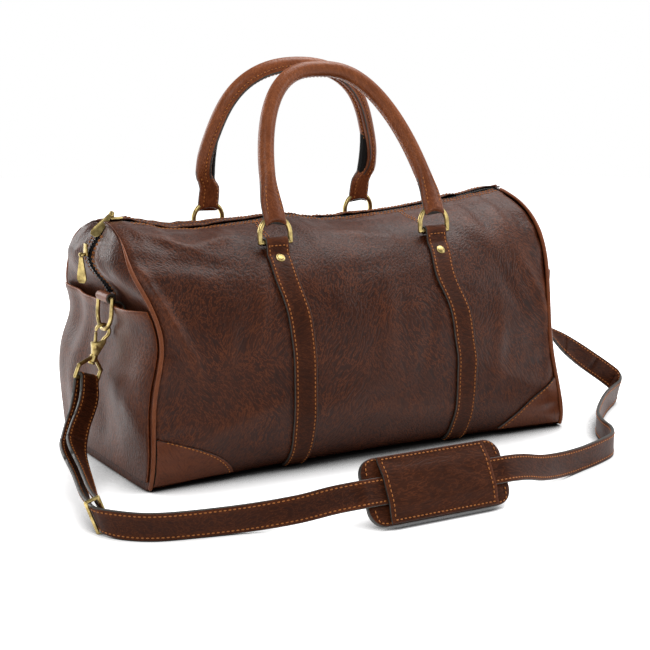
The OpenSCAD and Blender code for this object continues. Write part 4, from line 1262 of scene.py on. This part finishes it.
def make_hook(right):
    """A snap hook: a round bow, a flat body with a rivet, and a swivel post."""
    bm = new_mesh()
    line = [Vector((0, 0, -2.5)) + 6.9 * Vector((c, 0, s)) for c, s in map(heading, range(192, -34, -8))]
    line += [Vector((4.2, 0, -9)), Vector((3.4, 0, -13)), Vector((2.6, 0, -17))]
    across = Vector((0, 1, 0))
    rings = []
    for k, (p, d) in enumerate(zip(line, tangents(line))):
        u = across.cross(d).normalized()
        thin, wide = 1.75 * (0.72 + 0.28 * ease(0, 5, k)), 2.6 * (0.8 + 0.2 * ease(0, 5, k))
        rings.append([p + thin * u * c + across * wide * s for c, s in turns(18)])
    tube(bm, rings)
    bow = set(bm.verts)
    body = [(6.2, -9), (6.4, -13), (4.6, -20), (3.0, -27), (-3.0, -27), (-4.8, -22), (-7.2, -17), (-7.0, -15.4),
            (0.5, -13), (4.0, -9)]
    slab(bm, [(x, -3, z) for x, z in body], (0, 6, 0))
    bevelled(bm, 0.9, 3, 0.5, bow)
    for y in (-3.1, 3.1):
        cap = bmesh.ops.create_uvsphere(bm, u_segments=20, v_segments=10, radius=2.2 * MM)["verts"]
        bmesh.ops.transform(bm, matrix=shift(-2, y, -19.5) @ Matrix.Diagonal((1, 0.35, 1, 1)), verts=cap)
    for radius, low, high in ((2, -34.5, -26.5), (3.4, -36.5, -34.5), (3.3, -28.2, -26.6)):
        cylinder(bm, radius, high - low, 28, shift(0, 0, (low + high) / 2))
    bmesh.ops.transform(bm, matrix=hook_matrix(right), verts=bm.verts[:])
    name = ENDS[right]
    nodes = [name + "_hook", name + "_gate_pin"]
    piece(name + "_hook_brass", bm, ["antique_brass"], name + "_hook", nodes, "brass")


def make_gate(right):
    bm = new_mesh()
    outline = [(-7.6, -5.3), (-5.3, -4.4), (-1.2, -16.4), (0.4, -18.6), (0.4, -20.6), (-1.3, -21.6), (-3.2, -21),
               (-4.1, -19)]
    slab(bm, [(x, -1.2, z) for x, z in outline], (0, 2.4, 0))
    bevelled(bm, 0.5)
    bmesh.ops.transform(bm, matrix=hook_matrix(right), verts=bm.verts[:])
    name = ENDS[right] + "_gate"
    piece(name + "_brass", bm, ["antique_brass"], name, [name], "brass")


# Shoulder strap: points of its route, each with the direction of the strap's upper edge, and in the doubled drop with
# the distance between the layers
DROP = (
    (-283, -31, 76, -0.88, -0.36, 0.3, 11), (-301, -53, 54, -0.9, -0.3, 0.3, 10), (-312, -76, 41, -0.75, -0.1, 0.65, 9),
    (-320, -121, 27, -0.5, 0.2, 0.85, 8), (-328, -160, 19, -0.42, 0.2, 0.9, 8), (-331, -186, 16, -0.35, 0.2, 0.92, 8),
)
RUN = (
    (-335, -204, 14, -0.25, 0.1, 0.97), (-320, -224, 13, 0, 0, 1), (-298, -240, 13, 0, 0, 1),
    (-262, -250, 13, 0, 0, 1), (-216, -260, 14, 0, 0.12, 0.99), (-178, -274, 19, 0, 0.3, 0.95),
    (-154, -292, 28, 0, 0.42, 0.91), (-134, -304, 33, 0, 0.47, 0.88), (-114, -304, 33, 0, 0.47, 0.88),
    (-52, -304, 33, 0, 0.47, 0.88), (10, -304, 33, 0, 0.47, 0.88), (30, -304, 33, 0, 0.47, 0.88),
    (54, -297, 29, 0, 0.42, 0.91), (84, -286, 21, 0, 0.3, 0.95), (120, -271, 15, 0, 0.12, 0.99),
    (154, -259, 13, 0, 0, 1), (188, -247, 13, 0, 0, 1), (216, -233, 13, 0, 0, 1),
    (233, -212, 13, 0, 0, 1), (243, -188, 13, 0, 0, 1), (262, -157, 13, 0, 0, 1),
    (296, -122, 13, 0, 0, 1), (332, -90, 13, 0, 0, 1), (362, -68, 13, 0.1, 0, 0.99),
    (380, -55, 15, 0.3, 0, 0.95), (385, -44, 22, 0.55, 0, 0.84), (375, -38, 32, 0.6, 0, 0.8),
    (346, -34, 52, 0.55, 0.1, 0.83), (318, -29, 72, 0.45, 0.5, 0.74), (296, -24, 88, 0.2, 0.9, 0.38),
)
LEFT_BAR = Vector((-276.277, -20, 96.962))
LEFT_EDGE = -Vector((0.833344, 0.438371, -0.336693))
RIGHT_BAR = mirrored(LEFT_BAR, True, False)
RIGHT_EDGE = Vector((0, 1, 0))


def spline(rows, steps):
    """A smooth line through rows of numbers."""
    out = []
    last = len(rows) - 1
    for k in range(last):
        a, b, c, d = (rows[min(last, max(0, k + n))] for n in (-1, 0, 1, 2))
        for s in range(steps):
            q = s / steps
            out.append([(2 * e + (f - g) * q + (2 * g - 5 * e + 4 * f - h) * q * q + (3 * e - g - 3 * f + h) * q**3) / 2
                        for g, e, f, h in zip(a, b, c, d)])
    return out + [list(rows[-1])]


def strap_frames(rows):
    """Frames of a strap along a route: middle, width direction and face normal."""
    points = [Vector(r[:3]) for r in rows]
    out = []
    for p, r, d in zip(points, rows, tangents(points)):
        w = Vector(r[3:6]).normalized()
        n = w.cross(d).normalized()
        out.append((p, w, n))
    return out


def wrap():
    """Radius at which the strap turns round a hook's bar."""
    return 2.4 + SIZE["sling_t"] / 2


def bar_turn(bar, edge, first, second, angles):
    """Frames of the strap round a bar, at angles from the first direction to the second."""
    out = []
    for c, s in map(heading, angles):
        r = first * c + second * s
        out.append((bar + r * wrap(), edge, r))
    return out


def drop_frames():
    """The doubled part from the left hook: the layer that the run goes on from, the turn round the bar, the other
    layer, and the direction in which the drop ends."""
    rows = spline([list(LEFT_BAR) + list(LEFT_EDGE) + [2 * wrap()]] + [list(r) for r in DROP], 6)
    frames = strap_frames(rows)
    outer = [(p - n * r[6] / 2, w, -n) for (p, w, n), r in zip(frames, rows)]
    inner = [(p + n * r[6] / 2, w, n) for (p, w, n), r in zip(frames, rows)]
    face = frames[0][2]
    turn = bar_turn(LEFT_BAR, LEFT_EDGE, face, LEFT_EDGE.cross(face), range(168, 0, -12))
    return outer, turn, inner, tangents([Vector(r[:3]) for r in rows])[-1]


def run_frames():
    """The run from the drop's end to the right hook, and its turn round the bar."""
    outer, _, _, onward = drop_frames()
    start, edge, _ = outer[-1]
    arrive = Vector((-0.82, 0, 0.57)).normalized()
    up = RIGHT_EDGE.cross(arrive)
    first = list(start + onward) + list(edge)
    last = list(RIGHT_BAR + up * wrap()) + list(RIGHT_EDGE)
    frames = strap_frames(spline([first] + [list(r) for r in RUN] + [last], 6))
    turn = bar_turn(RIGHT_BAR, RIGHT_EDGE, up, arrive, range(12, 181, 12))
    turn += [(RIGHT_BAR - up * wrap() - arrive * d, RIGHT_EDGE, -up) for d in (6, 12, 18, 24)]
    return frames, turn


def sling_piece(name, *runs):
    bm = new_mesh()
    for frames in runs:
        ribbon(bm, frames, SIZE["sling_w"], SIZE["sling_t"])
    return piece(name, bm, STRAP, None, (), "sling_leather")


def hinged(made, low, high, foot, top):
    """Blends a length of strap from the body at its foot to the body at its top."""
    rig.blend(made, low, high, foot.lerp(top, 0.25) * MM, foot.lerp(top, 0.75) * MM)
    return made


def make_sling():
    outer, turn, inner, _ = drop_frames()
    frames, right_turn = run_frames()
    cuts = (4, 9, 15, 21)
    loop = sling_piece("left_strap_loop", outer[cuts[0] :: -1] + turn + inner[: cuts[0] + 1])
    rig.ride(loop, "left_swivel")
    parts = [loop]
    chain = (("left_hook", "left_swivel"), ("left_d_ring", "left_hook"), ("bag", "left_d_ring"))
    for k, (low, high) in enumerate(chain):
        a, b = cuts[k], cuts[k + 1]
        made = sling_piece(f"left_strap_{k + 1}", outer[a : b + 1], inner[a : b + 1])
        foot, top = ((outer[n][0] + inner[n][0]) / 2 for n in (b, a))
        parts.append(hinged(made, low, high, foot, top))
    tail = sling_piece("left_strap_tail", inner[cuts[3] :])
    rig.ride(tail, "bag")
    parts.append(tail)
    marks = [len(frames) - 1 - n for n in (28, 20, 12, 5)]
    whole = [(p, w, -n) for p, w, n in outer[cuts[3] : -1]] + frames[: marks[0] + 1]
    main = sling_piece("shoulder_strap", whole)
    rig.ride(main, "bag")
    chain = (("bag", "right_d_ring"), ("right_d_ring", "right_hook"), ("right_hook", "right_swivel"))
    for k, (low, high) in enumerate(chain):
        a, b = marks[k], marks[k + 1]
        made = sling_piece(f"right_strap_{k + 1}", frames[a : b + 1])
        parts.append(hinged(made, low, high, frames[a][0], frames[b][0]))
    made = sling_piece("right_strap_loop", frames[marks[3] :] + right_turn)
    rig.ride(made, "right_swivel")
    parts.append(made)
    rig.replaces(loop, "strap_drop")
    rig.replaces(main, "strap_run")
    path = [p * MM for p, w, n in whole]
    total = sum((b - a).length for a, b in zip(path, path[1:]))
    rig.cord(main, exit=path[0], length=total, diameter=SIZE["sling_w"] * MM, far_end="object", stiffness="stiff",
            lay="loose", path=path, with_pieces=parts + [frame["nodes"]["strap_buckle"]])


PAD = Vector((-50, -304, 33))  # middle of the strap under the pad
PAD_TILT = 28  # how far the pad leans back, in degrees


def pad_place(x, y, z):
    """A point of the pad: x along the strap, y behind it and z across it."""
    c, s = heading(PAD_TILT)
    return PAD + Vector((x, y * c + z * s, z * c - y * s))


def pad_spot(u, v):
    """A point of the pad's outline with rounded corners, u along it and v across it from -1 to 1."""
    long, wide, corner = SIZE["pad_len"] / 2, SIZE["pad_w"] / 2, 16
    x, z = u * long, v * wide
    dx, dz = abs(x) - (long - corner), abs(z) - (wide - corner)
    if dx > 0 and dz > 0:
        a, b = dx / corner, dz / corner
        dx, dz = corner * a * math.sqrt(1 - b * b / 2), corner * b * math.sqrt(1 - a * a / 2)
        x, z = math.copysign(long - corner + dx, x), math.copysign(wide - corner + dz, z)
    return x, z


def pad_arch(z):
    """How far the sleeve stands in front of the strap's middle, at z across it."""
    return lerp(-4.6, -0.9, ease(11, 28, abs(z)))


def make_pad():
    front = SIZE["sling_t"] / 2 + 0.4
    c, s = heading(PAD_TILT)
    back = Vector((0, c, -s))
    cols, rows = 72, 36

    def place(i, j):
        u, v = 2 * i / cols - 1, 2 * j / rows - 1
        x, z = pad_spot(u, v)
        return pad_place(x, front + 1.2 * max(abs(u) ** 8, abs(v) ** 6) - 0.1, z)

    bm = new_mesh()
    lattice(bm, cols, rows, place, lambda i, j: 0.3)
    grown = bmesh.ops.extrude_face_region(bm, geom=bm.faces[:])["geom"]
    for v in grown:
        if isinstance(v, bmesh.types.BMVert):
            local = (v.co / MM - PAD).dot(back)
            want = SIZE["pad_t"] + front - 1.6 * max(0, local - front)
            v.co += back * (want - local) * MM
    for face in bm.faces:
        if abs(face.normal.dot(back)) < 0.3:
            face.material_index = 1
    paints = ["belt_leather", "edge_paint"]
    pad = piece("pad_cushion", bm, paints, "shoulder_pad", ["pad_base"], "pad_leather")
    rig.padded(pad, 0.7)
    cols, rows = 60, 40

    def sleeve(i, j):
        z = 30.4 * (2 * j / rows - 1)
        return pad_place(58 * (2 * i / cols - 1), pad_arch(z) + 0.3 * noise.noise(Vector((i * 0.1, j * 0.16, 2))), z)

    bm = new_mesh()
    lattice(bm, cols, rows, sleeve, lambda i, j: 0.25 + 0.5 * ease(0.9, 1, abs(2 * i / cols - 1)))
    inside = pad_place(0, 60, 0)
    piece("pad_sleeve_leather", bm, paints, "shoulder_pad", ["pad_sleeve"], "sling_leather", inside, 2.4, 1)
    steps = [lerp(-1, 1, k / 30) for k in range(31)]
    lines = [[pad_place(55 * k, pad_arch(z) - 0.1, z) for k in steps] for z in (-27.6, 27.6)]
    lines += [[pad_place(x, pad_arch(25.5 * k) - 0.1, 25.5 * k) for k in steps] for x in (-54, 54)]
    for half in (0, 180):
        line = []
        for u, v in (heading(half + 180 * k / 80) for k in range(81)):
            grow = 0.93 / max(abs(u), abs(v))
            x, z = pad_spot(u * grow, v * grow)
            if abs(z) > SIZE["sling_w"] / 2 + 1:
                line.append(pad_place(x, front + 0.1, z))
        lines.append(line)
    bm = new_mesh()
    for line in lines:
        sew(bm, line, [-back] * len(line))
    piece("pad_stitches", bm, ["linen_thread"], "shoulder_pad", (), "pad_leather")


# Stage

WORLD = 0.26  # strength of the room's light
# Name, place, aim, size and power of each light
LIGHTS = (
    ("top_light", (0.8, 0.35, 1.8), (0, 0, 0.15), 1.3, 27),
    ("key_light", (-1.5, -1.3, 1.7), (0, 0, 0.1), 0.9, 15),
    ("side_light", (1.7, -1.0, 1.1), (0.2, 0, 0.15), 0.8, 8),
    ("end_light", (-1.0, 1.9, 0.85), (-0.25, 0, 0.15), 1.1, 19),
)


def seen_rays(tree):
    """1 for the rays that show the background: those of the camera, of gloss and through glass."""
    rays = add(tree, "LightPath").outputs
    direct = maths(tree, "MAXIMUM", rays["Is Camera Ray"], rays["Is Glossy Ray"])
    return maths(tree, "MAXIMUM", direct, rays["Is Transmission Ray"])


def aim(obj, place, target):
    """Puts a light or the camera at place, looking at target."""
    obj.location = place
    obj.rotation_euler = (Vector(target) - Vector(place)).to_track_quat("-Z", "Y").to_euler()


def stage_piece(name, bm, paint):
    """Makes the mesh a part of the stage."""
    data = bpy.data.meshes.new(name)
    bm.to_mesh(data)
    bm.free()
    data.materials.append(bpy.data.materials[paint])
    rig.stage(link(name, data))


def wall_paint(name):
    """A white wall lit from behind where it is seen, and no brighter than the room for other rays."""
    tree = new_tree(name)
    bright = ramp(tree, seen_rays(tree), 0.0, 1.0, WORLD, 1.0)
    glow = add(tree, "Emission", {"Color": (1, 1, 1, 1), "Strength": bright})
    add(tree, "OutputMaterial", {"Surface": glow.outputs[0]})


def floor_paint(name):
    """Matt white board: white where it is seen, with a painted contact shadow where ambient occlusion near the bag
    darkens its colour and its glow, and mid grey for other rays.
    """
    tree = new_tree(name)
    matt = add(tree, "BsdfDiffuse", {"Color": (0.5, 0.5, 0.5, 1)})
    # Painted contact shadow: ambient occlusion near the bag darkens the floor's colour and its glow
    lit = ramp(tree, add(tree, "AmbientOcclusion", {"Distance": 0.14}).outputs["AO"], 0.3, 0.72)
    pale = tones(tree, lit, (0.05, 0.05, 0.05, 1), (0.9, 0.9, 0.9, 1))
    white = add(tree, "BsdfDiffuse", {"Color": pale})
    glow = add(tree, "Emission", {"Color": (1, 1, 1, 1), "Strength": lit})
    both = add(tree, "AddShader", {0: white.outputs[0], 1: glow.outputs[0]})
    seen = add(tree, "MixShader", {0: seen_rays(tree), 1: matt.outputs[0], 2: both.outputs[0]})
    add(tree, "OutputMaterial", {"Surface": seen.outputs[0]})


def make_stage():
    scene = bpy.context.scene
    data = bpy.data.cameras.new("camera")
    data.lens, data.sensor_width = 80.5, 36
    scene.camera = link("camera", data)
    target, around, above, far = Vector((0.007, 0, 0.120)), heading(-30), heading(11), 1.584
    back = Vector((around[1] * above[0], -around[0] * above[0], above[1]))
    aim(scene.camera, target + back * far, target)
    scene.view_settings.view_transform = "Standard"
    for name, place, target, size, power in LIGHTS:
        lamp = bpy.data.lights.new(name, "AREA")
        lamp.size, lamp.energy = size, power
        aim(link(name, lamp), place, target)
    world = bpy.data.worlds.new("studio")
    scene.world = world
    world.use_nodes = True
    world.node_tree.nodes.clear()
    room = add(world.node_tree, "Background", {"Color": (1, 1, 1, 1), "Strength": WORLD})
    add(world.node_tree, "OutputWorld", {"Surface": room.outputs[0]})
    wall_paint("white_wall")
    bm = bmesh.new()
    bmesh.ops.create_cone(bm, segments=96, radius1=3.4, radius2=3.4, depth=1.3)
    bmesh.ops.translate(bm, vec=(0, 0, 0.5), verts=bm.verts[:])
    stage_piece("backdrop", bm, "white_wall")
    floor_paint("pale_floor")
    bm = bmesh.new()
    bmesh.ops.create_circle(bm, cap_ends=True, segments=96, radius=3.2)
    stage_piece("floor", bm, "pale_floor")


class HOLDALL_OT_stage(bpy.types.Operator):
    """Camera, lights, world and floor"""

    bl_idname = "holdall.stage"
    bl_label = "Stage"

    def execute(self, context):
        make_stage()
        return {"FINISHED"}


class HOLDALL_OT_sling(bpy.types.Operator):
    """Shoulder strap from hook to hook, and its pad"""

    bl_idname = "holdall.sling"
    bl_label = "Shoulder strap"

    def execute(self, context):
        read_sizes()
        make_sling()
        make_pad()
        return {"FINISHED"}


class HOLDALL_OT_shell(bpy.types.Operator):
    """Panels, base, ends, pockets, patches and piping"""

    bl_idname = "holdall.shell"
    bl_label = "Shell"

    def execute(self, context):
        read_sizes()
        make_base()
        make_lining()
        for k in (0, 1):
            make_panel(k)
            make_end(k)
            make_pocket(k)
            make_piping(k)
            for rear in (False, True):
                make_patch(bool(k), rear)
        return {"FINISHED"}


class HOLDALL_OT_straps(bpy.types.Operator):
    """Body straps with their rivets, and the tabs of the end rings"""

    bl_idname = "holdall.straps"
    bl_label = "Body straps"

    def execute(self, context):
        read_sizes()
        for x in (-RING_X, RING_X):
            for rear in (False, True):
                make_body_strap(x, rear)
        make_rivets()
        for k in (0, 1):
            make_ring_tab(k)
        return {"FINISHED"}


class HOLDALL_OT_handles(bpy.types.Operator):
    """Two rolled handles with flattened ends"""

    bl_idname = "holdall.handles"
    bl_label = "Handles"

    def execute(self, context):
        read_sizes()
        for rear in (0, 1):
            make_handle(rear)
        return {"FINISHED"}


class HOLDALL_OT_zip(bpy.types.Operator):
    """Tapes, teeth, sliders, pulls and the stitching along the zip"""

    bl_idname = "holdall.zip"
    bl_label = "Zip"

    def execute(self, context):
        read_sizes()
        make_tapes()
        make_teeth()
        make_zip_stitches()
        top = shift(-ZIP_TOP, 0, top_z(-ZIP_TOP) + 0.4)
        make_slider("upper_slider", top)
        pin = shift(*SLIDER_PIN)
        make_pull("upper_pull", 29, 34, top @ pin @ Matrix.Rotation(math.radians(-46), 4, "Y"))
        end = shift(-263.884, 0, 222) @ Matrix.Rotation(math.radians(-90), 4, "Y")
        make_slider("lower_slider", end)
        make_pull("lower_pull", 28, 28, end @ pin)
        return {"FINISHED"}


class HOLDALL_OT_metal(bpy.types.Operator):
    """Snap hooks and gates, and the finish of the rings, swivels, buckle and inner parts"""

    bl_idname = "holdall.metal"
    bl_label = "Metal"

    def execute(self, context):
        read_sizes()
        for k in (0, 1):
            make_hook(k)
            make_gate(k)
        for name, node in frame["nodes"].items():
            if name.endswith(("_ring", "_swivel", "_buckle")):
                paint = "antique_brass"
            elif name.endswith(("_lining", "_core")):
                paint = "lining_cloth"
            elif name == "base_board":
                paint = "pulp_board"
            else:
                continue
            node.data.materials.clear()
            node.data.materials.append(material(paint))
        return {"FINISHED"}


class HOLDALL_PT_panel(bpy.types.Panel):
    """Buttons, sizes and colours of the holdall"""

    bl_label = "Holdall"
    bl_idname = "HOLDALL_PT_panel"
    bl_space_type = "VIEW_3D"
    bl_region_type = "UI"
    bl_category = "Holdall"

    def draw(self, context):
        for name in STEPS:
            self.layout.operator("holdall." + name)
        for group in (context.scene.holdall_sizes, context.scene.holdall_colours):
            column = self.layout.column(align=True)
            for name in type(group).__annotations__:
                column.prop(group, name)


STEPS = ("stage", "sling", "shell", "straps", "handles", "zip", "metal")
CLASSES = (HoldallSizes, HoldallColours, HOLDALL_OT_stage, HOLDALL_OT_sling, HOLDALL_OT_shell, HOLDALL_OT_straps,
           HOLDALL_OT_handles, HOLDALL_OT_zip, HOLDALL_OT_metal, HOLDALL_PT_panel)


def register():
    for kind in CLASSES:
        bpy.utils.register_class(kind)
    bpy.types.Scene.holdall_sizes = PointerProperty(type=HoldallSizes)
    bpy.types.Scene.holdall_colours = PointerProperty(type=HoldallColours)


def unregister():
    del bpy.types.Scene.holdall_colours
    del bpy.types.Scene.holdall_sizes
    for kind in reversed(CLASSES):
        bpy.utils.unregister_class(kind)


def main():
    register()
    for name in STEPS:
        getattr(bpy.ops.holdall, name)()
    with open("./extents.json", "w") as out:
        json.dump({"cad": [list(c) for c in CAD_BOX], "final": [list(c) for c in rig.bounds()]}, out)


if __name__ == "__main__":
    main()
